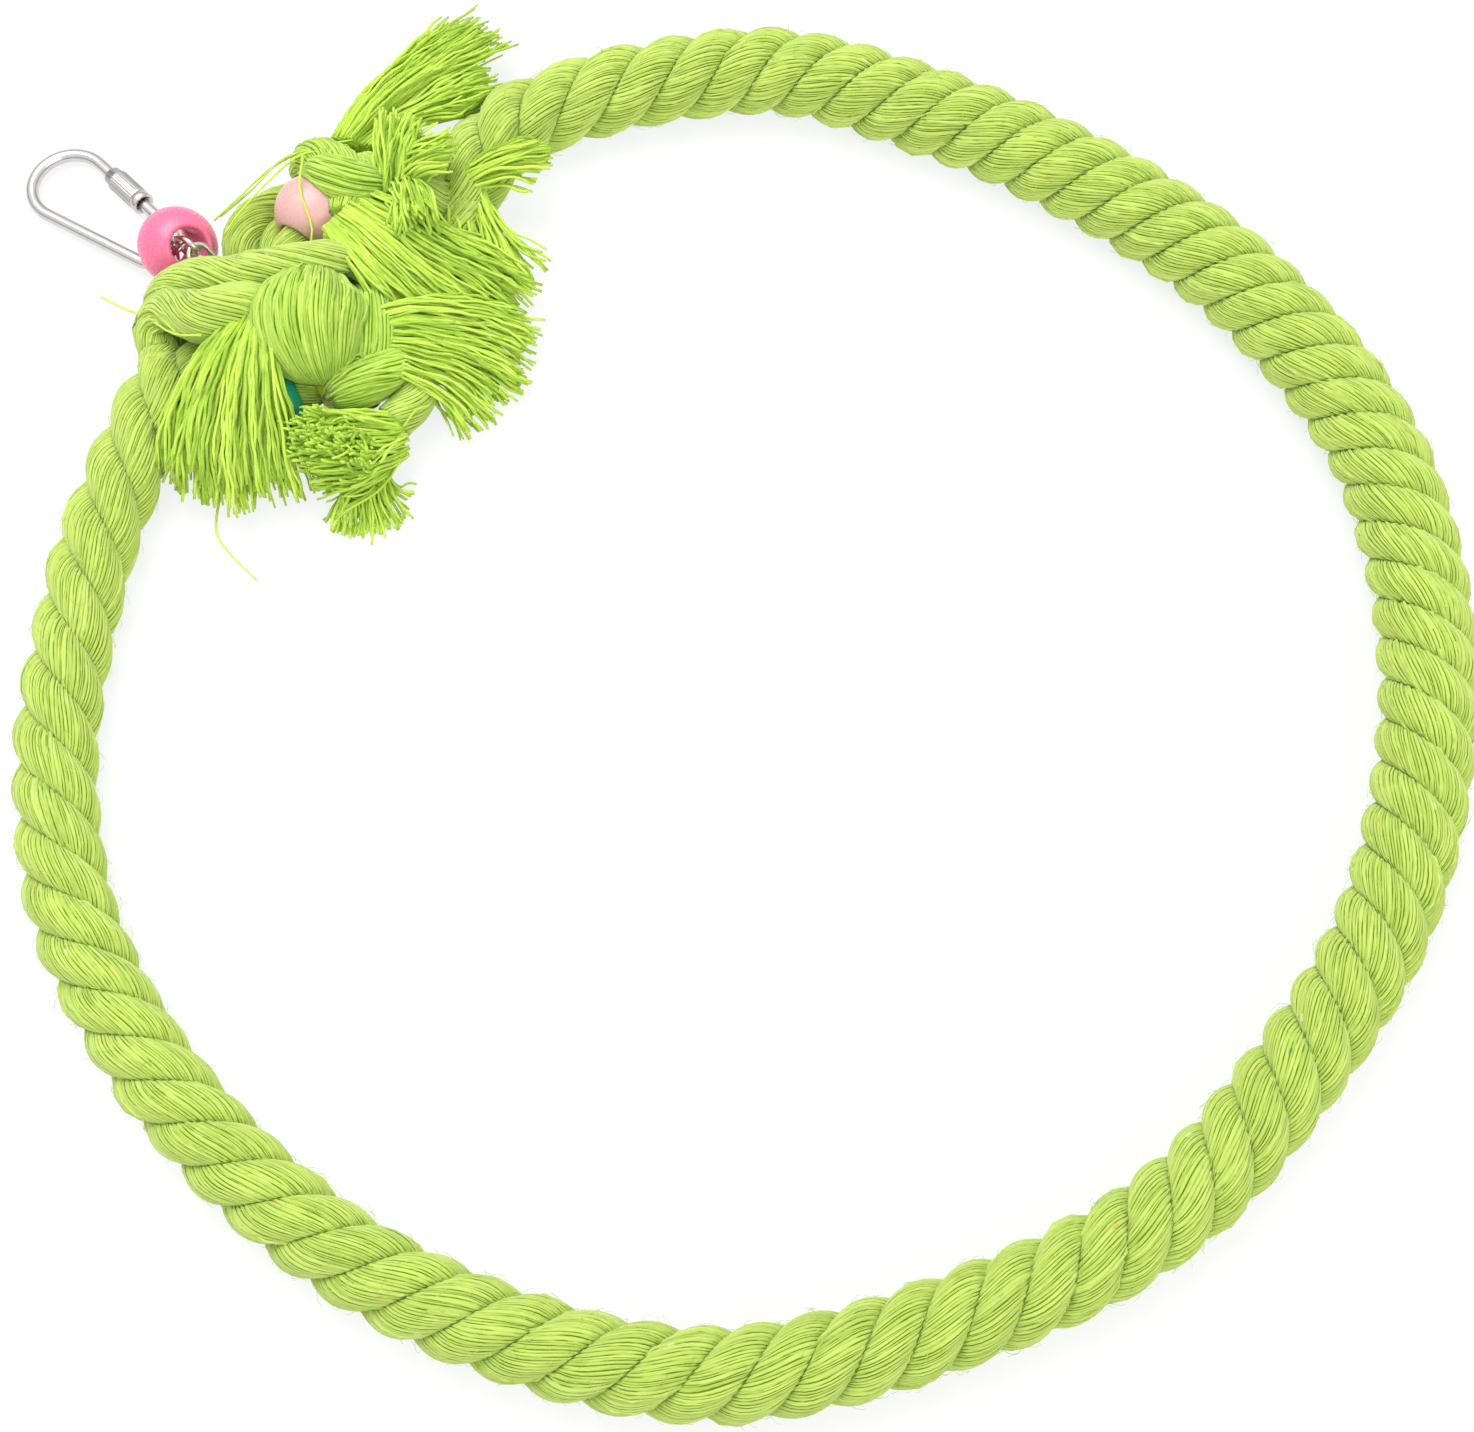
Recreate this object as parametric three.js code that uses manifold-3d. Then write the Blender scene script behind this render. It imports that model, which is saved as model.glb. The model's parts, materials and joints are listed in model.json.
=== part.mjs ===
// Rope ring bird swing, lying flat. Three cotton strands are laid left-handed round a steel core wire and
// bent to a ring. The strand ends cross in one knot with four beads and frayed tassels. A chain from the
// core wire runs up through the hot pink bead to a pear-shaped wire hook, which a knurled screw sleeve
// closes.
// X runs right and Y away across the ring, Z is up from the surface that the swing lies on.
import * as THREE from "three";
import { mergeVertices } from "three/addons/utils/BufferGeometryUtils.js";
import Module from "manifold-3d";

const wasm = await Module();
wasm.setup();

// Sizes in millimetres, angles in degrees; the tight spot and the reaches are shares of the rope's length
const HOOP_RADIUS = 154;
const ROPE_DIAMETER_LOOSE = 18.6;
const ROPE_DIAMETER_TIGHT = 22.6;
const LAY_LOOSE = 45;
const LAY_MIDDLE = 35.15;
const LAY_TIGHT = 30.5;
const TIGHT_SPOT = 0.74;
const TIGHT_REACH = 0.27;
const OPEN_REACH = 0.1;
const STRAND_COUNT = 3;
const CORE_WIRE_DIAMETER = 1.8;
const FERRULE_DIAMETER = 4.4;
const FERRULE_LENGTH = 12;
const KNOT_ANGLE = 135;
const BEAD_DIAMETER = 19;
const BEAD_LENGTH = 15.4;
const BEAD_BORE = 9;
const BEAD_ROUND = 0.8;
const HANGER_ANGLE = 142.8;
const CORE_ANCHOR_HEIGHT = 8.5;
const CHAIN_WIRE = 1.3;
const CHAIN_LINK_LENGTH = 10.4;
const CHAIN_LINK_WIDTH = 6.5;
const HOOK_WIRE = 3.1;
const HOOK_WIDE_RADIUS = 9.6;
const HOOK_NARROW_RADIUS = 5.8;
const HOOK_CENTRES = 29;
const SLEEVE_DIAMETER = 5.8;
const SLEEVE_LENGTH = 13;
const SLEEVE_COLLAR = 2.4;
const SLEEVE_NECK = 2;
const SLEEVE_NECK_DIAMETER = 4.8;
const KNURL_COUNT = 12;
const KNURL_DEPTH = 0.3;
const SLEEVE_MOUTH_DIAMETER = 4.5;
const SLEEVE_MOUTH_DEPTH = 1;
const SLEEVE_TRAVEL = 5;
const GATE_OVERLAP = 1.6;
const GATE_GAP = 5;
const CLEARANCE = 0.3;
const SLIDE_CLEARANCE = 0.25;
const CHAIN_CLEARANCE = 0.6;
const CORE_CLEARANCE = 0.7;
const TAIL_LEAD = 4;
const THREADED_RADIUS = 3.9;

// How finely round pieces are cut into faces
const STEPS_PER_TURN = 8;
const STRAND_SIDES = 5;
const SOFT_SIDES = 8;
const SOFT_STEP = 3.4;
const TASSEL_STEPS = 3;
const TASSEL_SIDES = 10;
const ROUND_SIDES = 18;
const WIRE_SIDES = 8;
const CORE_STEPS = 120;
const CORE_SIDES = 5;
const CORE_POINTS = 60;
const LINK_STEPS = 24;
const LINK_SIDES = 6;
const HOOK_ARC_STEPS = 8;
const BEAD_ARCS = 8;
const BEND_SPAN = 0.012;
const FIT_PASSES = 16;
const FINE_STEPS = 4000;
const ARC_STEPS = 1200;
const SPACING_STEP = 0.02;
const WELD = 1e-4;
const STEEP = 0.9;

// The rope lies on its strands, each pressed flat by a tenth of its own thickness
const PRESSED_FLAT = 0.8;

// The rope's route: angle round the ring, and how far the hand-bent hoop stands out from a circle there
const HOOP_ROUTE = [
  [152.5, -1], [163, -3], [175, -3], [190, 0], [205, 2.5], [225, 1], [245, 1], [268, 2], [292, -2.5],
  [306, -2], [320, -3.5], [335, -1.5], [350, 0], [365, 2], [380, 3.5], [400, 0], [420, -2.5], [434, -0.5],
  [446, 4], [458, 2],
];
// The far end leaves the circle and turns into the knot: right and away from the knot's middle
const ROPE_FAR_END = [[59, 36.5], [50, 30], [43, 19.5], [37, 9]];

// Knot routes: right, away and up from the knot's middle, then the tail's radius there
const LEFT_TAIL_1 = [
  [-31.4, -29.5, 14.5, 3.9], [-27.8, -26.2, 17.5, 4.4], [-22, -28, 20, 5.3], [-15.5, -30.5, 22, 6.2],
  [-7, -27.5, 21, 6], [1, -22, 16, 4.6],
];
const LEFT_TAIL_2 = [
  [-25.2, -30, 3, 3.7], [-27.4, -25, 6.4, 3.7], [-30.4, -21.2, 11.6, 3.8], [-27.6, -19.8, 16.6, 4],
  [-20, -18.6, 19.8, 4.6], [-10.5, -19, 21.4, 4.6], [-2, -18.5, 23.8, 4.5], [6, -17.6, 25, 4.4],
  [13, -15.5, 23.6, 4], [19, -11.5, 18.5, 3.4],
];
const LEFT_TAIL_3_IN = [
  [-18.6, -33, 11.6, 3.5], [-14.8, -29.4, 11.4, 3.4], [-10.2, -31, 11.4, 3.4], [-9.8, -36.2, 11.2, 3.4],
  [-14, -41.6, 10.4, 3.4], [-16.6, -45.4, 9.8, 3.3], [-17.4, -48.9, 9.4, 3.3], [-16, -51.6, 9.4, 3.3],
  [-13.6, -52.6, 9.7, 3.5],
];
const LEFT_TAIL_3_OUT = [
  [29.2, -34, 10, 3.8], [32.6, -38.2, 9.6, 3.9], [32, -44.6, 8.8, 4.5], [27, -51, 8.4, 4.6],
];
const RIGHT_TAIL_1 = [
  [26, 8.5, 5.2, 3.8], [20, 10.8, 7.6, 3.8], [12, 12, 8.7, 3.9], [2, 11.5, 9, 4], [-6, 6.5, 11.5, 4.2],
  [-10.5, 0.5, 13.5, 4.4], [-12, -6, 13.5, 4.4], [-10.5, -11.5, 10.5, 4],
];
const RIGHT_TAIL_2 = [
  [39.5, -1, 6.4, 3.8], [33, -3, 4.6, 3.8], [25, -4.4, 5.2, 3.8], [16, -7, 6.6, 3.9], [8, -10, 8, 3.9],
  [1, -11.2, 9.5, 3.7], [-4, -8.4, 11.6, 3.4], [-4.8, -3.2, 12, 3.2], [-3.4, 1.8, 10.8, 3],
];
const RIGHT_TAIL_3_IN = [[29.6, 6.8, 18.2, 3.8], [24.6, 8.6, 19.4, 3.8], [18.4, 12.6, 19.2, 3.8]];
const RIGHT_TAIL_3_OUT = [[-0.2, -12, 17.2, 4], [-4, -15, 13.5, 3.6]];
const CENTRE_WRAP = [
  [6.4, -18.6, 17.4, 5.5], [7, -22.4, 18.4, 10], [7.6, -28, 18.8, 13.4], [8.4, -33.6, 18.2, 13.4],
  [10, -38.8, 16.2, 10.4], [11, -41.6, 14, 5.6],
];
const TOP_WRAP = [
  [0.5, 15.5, 13, 3], [5, 15, 18.5, 5], [10.5, 11.5, 22, 6.6], [15, 5, 23, 7], [15.5, -2, 21, 5.6],
];
// Tassel routes: right, away and up, then half the width and half the thickness of the frayed bundle there
const TASSELS = {
  tassel_left: [
    [-4, -33, 20, 5, 3.6], [-8, -42, 22, 9, 4], [-11, -53, 15, 14, 5], [-11.5, -65, 3.8, 19, 4.6],
  ],
  tassel_right: [
    [26, -31.5, 15, 4.6, 4], [36, -30, 15, 8, 4.5], [47, -32, 9.5, 12, 5], [56, -34.5, 4, 15, 4.6],
  ],
  tassel_bottom: [[26.6, -50.9, 8.4, 4.2, 4], [20.5, -56.5, 12, 6.5, 5], [13.5, -59.5, 12, 9, 5.6]],
  tassel_fringe: [[22.5, -59, 4.4, 4.4, 3.8], [22, -67, 3.6, 7.5, 3.4], [22, -77, 2.4, 11, 2.6]],
  tassel_sweep: [
    [17, -5, 20, 5, 3.8], [25.5, -8.5, 19.5, 7.5, 4], [38, -12, 13, 9.5, 4.4], [52, -14.5, 4.2, 11, 4],
  ],
  tassel_top: [
    [13, 17, 19, 4.4, 4], [17, 26, 18.5, 4.6, 4], [25.5, 38.5, 14.5, 7, 4.6], [38, 54, 4.8, 14, 5],
  ],
  tassel_short: [[27, 15, 17, 4, 3.6], [26.5, 13.5, 22, 6, 5.6], [25.5, 11.5, 26.5, 7.6, 7]],
  tassel_end: [[36.5, 2, 9.5, 4.4, 4.2], [42, -2.5, 8, 6, 3.8], [50, -5, 3.2, 8.5, 3.2]],
};

// Beads: right, away and up from the knot's middle, and the way each bore runs
const PALE_BEAD = [6.2, 0.5, 18];
const PALE_BEAD_AXIS = [0.48, 0.87, 0.06];
const GREEN_BEAD = [-2.5, -47.9, 10];
const YELLOW_BEAD = [15.3, -39.4, 10];

// The hanging chain in its own upright plane: out from the core wire, and up
const PINK_BEAD = [17.2, 13.2];
const PINK_BEAD_TILT = 41;
const CHAIN_START_IN_BEAD = 6.3;
const HOOK_END_REACH = 1.5;

// The ferrule on the core wire, under the knot, and the way the wire runs through it
const FERRULE = [9, -3.5, 2.6];
const FERRULE_AXIS = [0.88, 0.47, 0];
const FERRULE_LEAD = 11;
const CORE_LEAD = 8;

const COTTON = { color: "#bcdc62", roughness: 0.95, metalness: 0 };
const FRAYED_COTTON = { color: "#a9cf49", roughness: 0.95, metalness: 0 };
const STEEL = { color: "#d9d4d2", roughness: 0.25, metalness: 1 };
const CORE_STEEL = { color: "#9a9a98", roughness: 0.45, metalness: 1 };
const PINK = { color: "#ff5f97", roughness: 0.28, metalness: 0 };
const PALE_PINK = { color: "#f6bfb6", roughness: 0.3, metalness: 0 };
const GREEN = { color: "#1f9e7a", roughness: 0.3, metalness: 0 };
const YELLOW = { color: "#d8c21a", roughness: 0.3, metalness: 0 };

const UP = new THREE.Vector3(0, 0, 1);
const group = new THREE.Group();

const radians = THREE.MathUtils.degToRad;
const vector = (x, y, z) => new THREE.Vector3(x, y, z);

// The part of a direction that stands square to an axis
const squared = (way, axis) => way.clone().addScaledVector(axis, -way.dot(axis)).normalize();

function hoopPoint(angle, outward, height) {
  const reach = HOOP_RADIUS + outward;
  return vector(reach * Math.cos(radians(angle)), reach * Math.sin(radians(angle)), height);
}

const KNOT_MIDDLE = hoopPoint(KNOT_ANGLE, 0, 0);
const knotPoint = ([right, away, up]) => KNOT_MIDDLE.clone().add(vector(right, away, up));

// A closed solid through rings of points, each ring running right-handed about the way the solid goes
function loft(rings) {
  const sides = rings[0].length;
  const position = [];
  const index = [];
  for (const ring of rings) {
    for (const point of ring) {
      position.push(point.x, point.y, point.z);
    }
  }
  for (let i = 0; i + 1 < rings.length; i += 1) {
    for (let j = 0; j < sides; j += 1) {
      const a = i * sides + j;
      const b = i * sides + (j + 1) % sides;
      index.push(a, b, b + sides, a, b + sides, a + sides);
    }
  }
  const last = (rings.length - 1) * sides;
  for (let j = 1; j + 1 < sides; j += 1) {
    index.push(0, j + 1, j, last, last + j, last + j + 1);
  }
  const geometry = new THREE.BufferGeometry();
  geometry.setAttribute("position", new THREE.Float32BufferAttribute(position, 3));
  geometry.setIndex(index);
  return geometry;
}

function ellipseRing(centre, across, over, halfWidth, halfHeight, sides) {
  const ring = [];
  for (let j = 0; j < sides; j += 1) {
    const turn = 2 * Math.PI * j / sides;
    const point = centre.clone().addScaledVector(across, halfWidth * Math.cos(turn));
    ring.push(point.addScaledVector(over, halfHeight * Math.sin(turn)));
  }
  return ring;
}

function toManifold(geometry) {
  const plain = geometry.clone();
  plain.deleteAttribute("normal");
  plain.deleteAttribute("uv");
  const welded = mergeVertices(plain, WELD);
  const vertProperties = new Float32Array(welded.attributes.position.array);
  const triVerts = new Uint32Array(welded.index.array);
  return new wasm.Manifold(new wasm.Mesh({ numProp: 3, vertProperties, triVerts }));
}

function toGeometry(manifold) {
  const mesh = manifold.getMesh();
  const geometry = new THREE.BufferGeometry();
  geometry.setAttribute("position", new THREE.Float32BufferAttribute(mesh.vertProperties, 3));
  geometry.setIndex(new THREE.Uint32BufferAttribute(mesh.triVerts, 1));
  return geometry;
}

// What a cut leaves of a soft piece is its one main body
function mainBody(manifold) {
  const bodies = manifold.decompose();
  return bodies.reduce((best, body) => (body.volume() > best.volume() ? body : best));
}

function addMesh(name, solid, look) {
  const geometry = solid.isBufferGeometry ? mergeVertices(solid, WELD) : toGeometry(solid);
  geometry.computeVertexNormals();
  const mesh = new THREE.Mesh(geometry, new THREE.MeshStandardMaterial(look));
  mesh.name = name;
  group.add(mesh);
}

// Everything under the surface that the swing lies on, for pressing soft pieces flat
const ground = new THREE.BoxGeometry(4 * HOOP_RADIUS, 4 * HOOP_RADIUS, HOOP_RADIUS);
ground.translate(0, 0, -HOOP_RADIUS / 2);
const GROUND = toManifold(ground);

// The rope's middle line
const ropePoints = HOOP_ROUTE.map(([angle, outward]) => hoopPoint(angle, outward, 0));
for (const [right, away] of ROPE_FAR_END) {
  ropePoints.push(knotPoint([right, away, 0]));
}
const ropePlan = new THREE.CatmullRomCurve3(ropePoints);
ropePlan.arcLengthDivisions = ARC_STEPS;
const ROPE_LENGTH = ropePlan.getLength();

const tightness = (along) => Math.exp(-(((along - TIGHT_SPOT) / TIGHT_REACH) ** 2));
// The twist opens towards both ends, where the strands part into the knot
const openness = (along) =>
  Math.exp(-((along / OPEN_REACH) ** 2)) + Math.exp(-(((1 - along) / OPEN_REACH) ** 2));
const layAt = (along) => THREE.MathUtils.lerp(
  THREE.MathUtils.lerp(LAY_MIDDLE, LAY_TIGHT, tightness(along)),
  LAY_LOOSE,
  openness(along),
);
const ropeRadiusAt = (along) =>
  THREE.MathUtils.lerp(ROPE_DIAMETER_LOOSE, ROPE_DIAMETER_TIGHT, tightness(along)) / 2;
const ropePointAt = (along) =>
  ropePlan.getPointAt(along).addScaledVector(UP, ropeRadiusAt(along) - PRESSED_FLAT);

// Nearest distance between the middle lines of two neighbouring strands wound at one radius
function strandSpacing(helixRadius, lay) {
  const rise = lay / (2 * Math.PI);
  const apart = 2 * Math.PI / STRAND_COUNT;
  let nearest = Infinity;
  for (let turn = SPACING_STEP; turn <= apart; turn += SPACING_STEP) {
    const chord = 2 * helixRadius * Math.sin(turn / 2);
    nearest = Math.min(nearest, Math.hypot(chord, rise * (turn - apart)));
  }
  return nearest;
}

// How sharply the rope bends, in radians per millimetre
function bendAt(along) {
  const before = Math.max(0, along - BEND_SPAN);
  const after = Math.min(1, along + BEND_SPAN);
  const turn = ropePlan.getTangentAt(before).angleTo(ropePlan.getTangentAt(after));
  return turn / ((after - before) * ROPE_LENGTH);
}

// A strand is as thick as its neighbours, the core wire and the rope's outside leave room for. The lay
// closes up on the inside of a bend, and a strand's flat faces stand closer to the rope's middle than its
// corners.
function strandRadius(along) {
  const ropeRadius = ropeRadiusAt(along);
  const faceting = Math.cos(Math.PI / STEPS_PER_TURN);
  let radius = (ropeRadius - (CORE_WIRE_DIAMETER / 2 + CORE_CLEARANCE) / faceting) / 2;
  for (let pass = 0; pass < FIT_PASSES; pass += 1) {
    const helix = ropeRadius - radius;
    const lay = layAt(along) * (1 - helix * bendAt(along));
    const room = (strandSpacing(helix * faceting, lay) - CLEARANCE) / 2;
    radius = Math.min(radius, (radius + room) / 2);
  }
  return radius;
}

// Stations at equal turns of the lay, so that each strand has the same number of steps in every turn
function ropeStations() {
  const turnAt = [0];
  for (let i = 1; i <= FINE_STEPS; i += 1) {
    turnAt.push(turnAt[i - 1] + ROPE_LENGTH / FINE_STEPS / layAt((i - 0.5) / FINE_STEPS));
  }
  const total = turnAt[FINE_STEPS];
  const count = Math.round(total * STEPS_PER_TURN);
  const stations = [];
  let i = 0;
  for (let k = 0; k <= count; k += 1) {
    const turns = total * k / count;
    while (i + 1 < FINE_STEPS && turnAt[i + 1] < turns) {
      i += 1;
    }
    const part = (turns - turnAt[i]) / (turnAt[i + 1] - turnAt[i]);
    stations.push({ along: Math.min(1, (i + part) / FINE_STEPS), turns });
  }
  return stations;
}

// Middle line of one strand, with the directions of its cross-section at every station
function strandLine(number) {
  const line = ropeStations().map(({ along, turns }) => {
    const inward = UP.clone().cross(ropePlan.getTangentAt(along)).normalize();
    const angle = -2 * Math.PI * (turns + number / STRAND_COUNT);
    const outward = inward.multiplyScalar(Math.cos(angle)).addScaledVector(UP, Math.sin(angle));
    const radius = strandRadius(along);
    const point = ropePointAt(along).addScaledVector(outward, ropeRadiusAt(along) - radius);
    return { point, outward, radius };
  });
  line.forEach((place, i) => {
    const before = line[Math.max(0, i - 1)].point;
    const after = line[Math.min(line.length - 1, i + 1)].point;
    place.tangent = after.clone().sub(before).normalize();
    place.over = squared(place.outward, place.tangent);
    place.across = place.tangent.clone().cross(place.over);
  });
  return line;
}

function strandSolid(line, extra) {
  const rings = line.map(({ point, over, across, radius }) =>
    ellipseRing(point, over, across, radius + extra, radius + extra, STRAND_SIDES));
  return toManifold(loft(rings));
}

// The level direction across a route, or the X direction's share of it where the route is steep
function levelAcross(tangent) {
  if (Math.abs(tangent.z) > STEEP) {
    return squared(vector(1, 0, 0), tangent);
  }
  return UP.clone().cross(tangent).normalize();
}

// A soft tail or wrap: a tube of changing thickness along a smooth route
function softTube(route, extra) {
  const curve = new THREE.CatmullRomCurve3(route.map(({ point }) => point));
  const steps = Math.round(curve.getLength() / SOFT_STEP);
  const radii = route.map(({ radius }) => radius);
  const rings = [];
  let across = null;
  for (let i = 0; i <= steps; i += 1) {
    const place = curve.getUtoTmapping(i / steps);
    const tangent = curve.getTangent(place);
    across = squared(across ?? levelAcross(tangent), tangent);
    const over = tangent.clone().cross(across);
    const radius = between(radii, place * (radii.length - 1)) + extra;
    rings.push(ellipseRing(curve.getPoint(place), across, over, radius, radius, SOFT_SIDES));
  }
  return toManifold(loft(rings));
}

function between(values, place) {
  const from = Math.floor(place);
  return THREE.MathUtils.lerp(values[from], values[Math.min(values.length - 1, from + 1)], place - from);
}

// A frayed tassel: a bundle that spreads sideways from its root and lies down towards its tips
function tasselSolid(rows, extra) {
  const curve = new THREE.CatmullRomCurve3(rows.map(knotPoint));
  const steps = (rows.length - 1) * TASSEL_STEPS;
  const rings = [];
  for (let i = 0; i <= steps; i += 1) {
    const tangent = curve.getTangent(i / steps);
    const across = levelAcross(tangent);
    const over = tangent.clone().cross(across);
    const halfWidth = between(rows.map((row) => row[3]), i / TASSEL_STEPS) + extra;
    const halfHeight = between(rows.map((row) => row[4]), i / TASSEL_STEPS) + extra;
    rings.push(ellipseRing(curve.getPoint(i / steps), across, over, halfWidth, halfHeight, TASSEL_SIDES));
  }
  return toManifold(loft(rings));
}

// A round wire bent along a curve
function wireSolid(curve, diameter, steps, sides) {
  const section = new THREE.Shape();
  for (let j = 0; j < sides; j += 1) {
    const turn = 2 * Math.PI * j / sides;
    const x = diameter / 2 * Math.cos(turn);
    const y = diameter / 2 * Math.sin(turn);
    if (j === 0) {
      section.moveTo(x, y);
    } else {
      section.lineTo(x, y);
    }
  }
  return toManifold(new THREE.ExtrudeGeometry(section, { steps, extrudePath: curve }));
}

// Stands a piece made along Y on a place, turned to an axis
function standOn(geometry, axis, place) {
  geometry.applyQuaternion(new THREE.Quaternion().setFromUnitVectors(vector(0, 1, 0), axis));
  geometry.translate(place.x, place.y, place.z);
  return toManifold(geometry);
}

function turned(pairs, sides) {
  const profile = pairs.map(([radius, along]) => new THREE.Vector2(radius, along));
  profile.push(profile[0].clone());
  return new THREE.LatheGeometry(profile, sides);
}

// A round bead with flat ends, a bore and eased rims; extra grows it all over, bore included. The ends are
// cut at the bead's length, or where the bore's rims leave no flat end of a small bead.
function beadSolid(place, axis, extra) {
  const outer = BEAD_DIAMETER / 2 + extra;
  const bore = BEAD_BORE / 2 - extra;
  const mouth = bore + BEAD_ROUND;
  const half = Math.min(BEAD_LENGTH / 2 + extra, outer * Math.sin(Math.acos(mouth / outer)));
  const rim = Math.asin(half / outer);
  const pairs = [];
  for (let i = 0; i <= BEAD_ARCS; i += 1) {
    const turn = THREE.MathUtils.lerp(-rim, rim, i / BEAD_ARCS);
    pairs.push([outer * Math.cos(turn), outer * Math.sin(turn)]);
  }
  pairs.push([mouth, half], [bore, half - BEAD_ROUND], [bore, BEAD_ROUND - half], [mouth, -half]);
  return standOn(turned(pairs, ROUND_SIDES), axis, place);
}

// A closed ring of sections, without ends
function loopLoft(rings) {
  const sides = rings[0].length;
  const position = rings.flat().flatMap(({ x, y, z }) => [x, y, z]);
  const total = rings.length * sides;
  const index = [];
  for (let i = 0; i < rings.length; i += 1) {
    for (let j = 0; j < sides; j += 1) {
      const a = i * sides + j;
      const b = i * sides + (j + 1) % sides;
      index.push(a, b, (b + sides) % total, a, (b + sides) % total, (a + sides) % total);
    }
  }
  const geometry = new THREE.BufferGeometry();
  geometry.setAttribute("position", new THREE.Float32BufferAttribute(position, 3));
  geometry.setIndex(index);
  return toManifold(geometry);
}

// An oval chain link, flat in the plane of its length and the given side. It reaches past both its joints,
// round the wires that cross it there.
function linkSolid({ from, to, side, fromRoom, toRoom }, extra) {
  const along = to.clone().sub(from).normalize();
  const flat = squared(side, along);
  const over = along.clone().cross(flat);
  const bend = (CHAIN_LINK_WIDTH - CHAIN_WIRE) / 2;
  const centres = [
    to.clone().addScaledVector(along, toRoom - bend),
    from.clone().addScaledVector(along, bend - fromRoom),
  ];
  const points = [];
  for (let i = 0; i < LINK_STEPS; i += 1) {
    const half = Math.floor(2 * i / LINK_STEPS);
    const turn = 2 * Math.PI * (i - half) / (LINK_STEPS - 2) - Math.PI / 2;
    const point = centres[half].clone().addScaledVector(along, bend * Math.cos(turn));
    points.push(point.addScaledVector(flat, bend * Math.sin(turn)));
  }
  const radius = CHAIN_WIRE / 2 + extra;
  return loopLoft(points.map((point, i) => {
    const before = points[(i + LINK_STEPS - 1) % LINK_STEPS];
    const after = points[(i + 1) % LINK_STEPS];
    const tangent = after.clone().sub(before).normalize();
    return ellipseRing(point, over, tangent.clone().cross(over), radius, radius, LINK_SIDES);
  }));
}

// Grown copies of finished pieces, which the softer pieces laid against them are cut back by
const spares = [];

// Beads
const threadAxis = knotPoint(YELLOW_BEAD).sub(knotPoint(GREEN_BEAD)).normalize();
const paleAxis = vector(...PALE_BEAD_AXIS).normalize();
const hangOut = hoopPoint(HANGER_ANGLE, 0, 0).normalize();
const hangSide = UP.clone().cross(hangOut);
const hangPoint = (out, up) => hoopPoint(HANGER_ANGLE, out, up);
const pinkPlace = hangPoint(...PINK_BEAD);
const inHangPlane = (dip) =>
  hangOut.clone().multiplyScalar(Math.cos(dip)).addScaledVector(UP, -Math.sin(dip));
const pinkAxis = inHangPlane(radians(PINK_BEAD_TILT));
const BEADS = [
  ["pink_bead", pinkPlace, pinkAxis, PINK],
  ["pale_bead", knotPoint(PALE_BEAD), paleAxis, PALE_PINK],
  ["green_bead", knotPoint(GREEN_BEAD), threadAxis, GREEN],
  ["yellow_bead", knotPoint(YELLOW_BEAD), threadAxis, YELLOW],
];
for (const [name, place, axis, look] of BEADS) {
  addMesh(name, beadSolid(place, axis, 0), look);
  spares.push(beadSolid(place, axis, CLEARANCE));
}

// Chain joints from the core wire, over and down through the pink bead, to the hook's narrow end. Links 2
// and 4 lie across the chain's upright plane, so their end wires are the joints. The others stand in that
// plane and reach round those wires, the core wire or the hook.
const linkSpan = CHAIN_LINK_LENGTH - CHAIN_WIRE;
const linkRoom = CHAIN_WIRE + CLEARANCE;
const coreRoom = (CORE_WIRE_DIAMETER + CHAIN_WIRE) / 2 + CORE_CLEARANCE;
const hookRoom = (HOOK_WIRE + CHAIN_WIRE) / 2 + CLEARANCE;
const inBead = (reach) => pinkPlace.clone().addScaledVector(pinkAxis, reach);
const lowJoint = inBead(CHAIN_START_IN_BEAD);
const innerJoint = inBead(CHAIN_START_IN_BEAD - linkSpan);
const highJoint = inBead(CHAIN_START_IN_BEAD - 2 * linkSpan + 2 * linkRoom);
const coreJoint = hangPoint(0, CORE_ANCHOR_HEIGHT);
const firstSpan = linkSpan - coreRoom - linkRoom;
const middleJoint = coreJoint.clone().lerp(highJoint, firstSpan / (firstSpan + linkSpan));
const hookJoint = lowJoint.clone().addScaledVector(hangOut, HOOK_END_REACH);
hookJoint.z = hookRoom + CHAIN_WIRE;
const LINKS = [
  { from: lowJoint, to: hookJoint, side: hangOut, fromRoom: linkRoom, toRoom: hookRoom },
  { from: innerJoint, to: lowJoint, side: hangSide, fromRoom: 0, toRoom: 0 },
  { from: highJoint, to: innerJoint, side: hangOut, fromRoom: linkRoom, toRoom: linkRoom },
  { from: middleJoint, to: highJoint, side: hangSide, fromRoom: 0, toRoom: 0 },
  { from: coreJoint, to: middleJoint, side: UP, fromRoom: coreRoom, toRoom: linkRoom },
];
LINKS.forEach((link, i) => {
  addMesh(`chain_link_${i + 1}`, linkSolid(link, 0), STEEL);
  spares.push(linkSolid(link, CHAIN_CLEARANCE));
});

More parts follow.
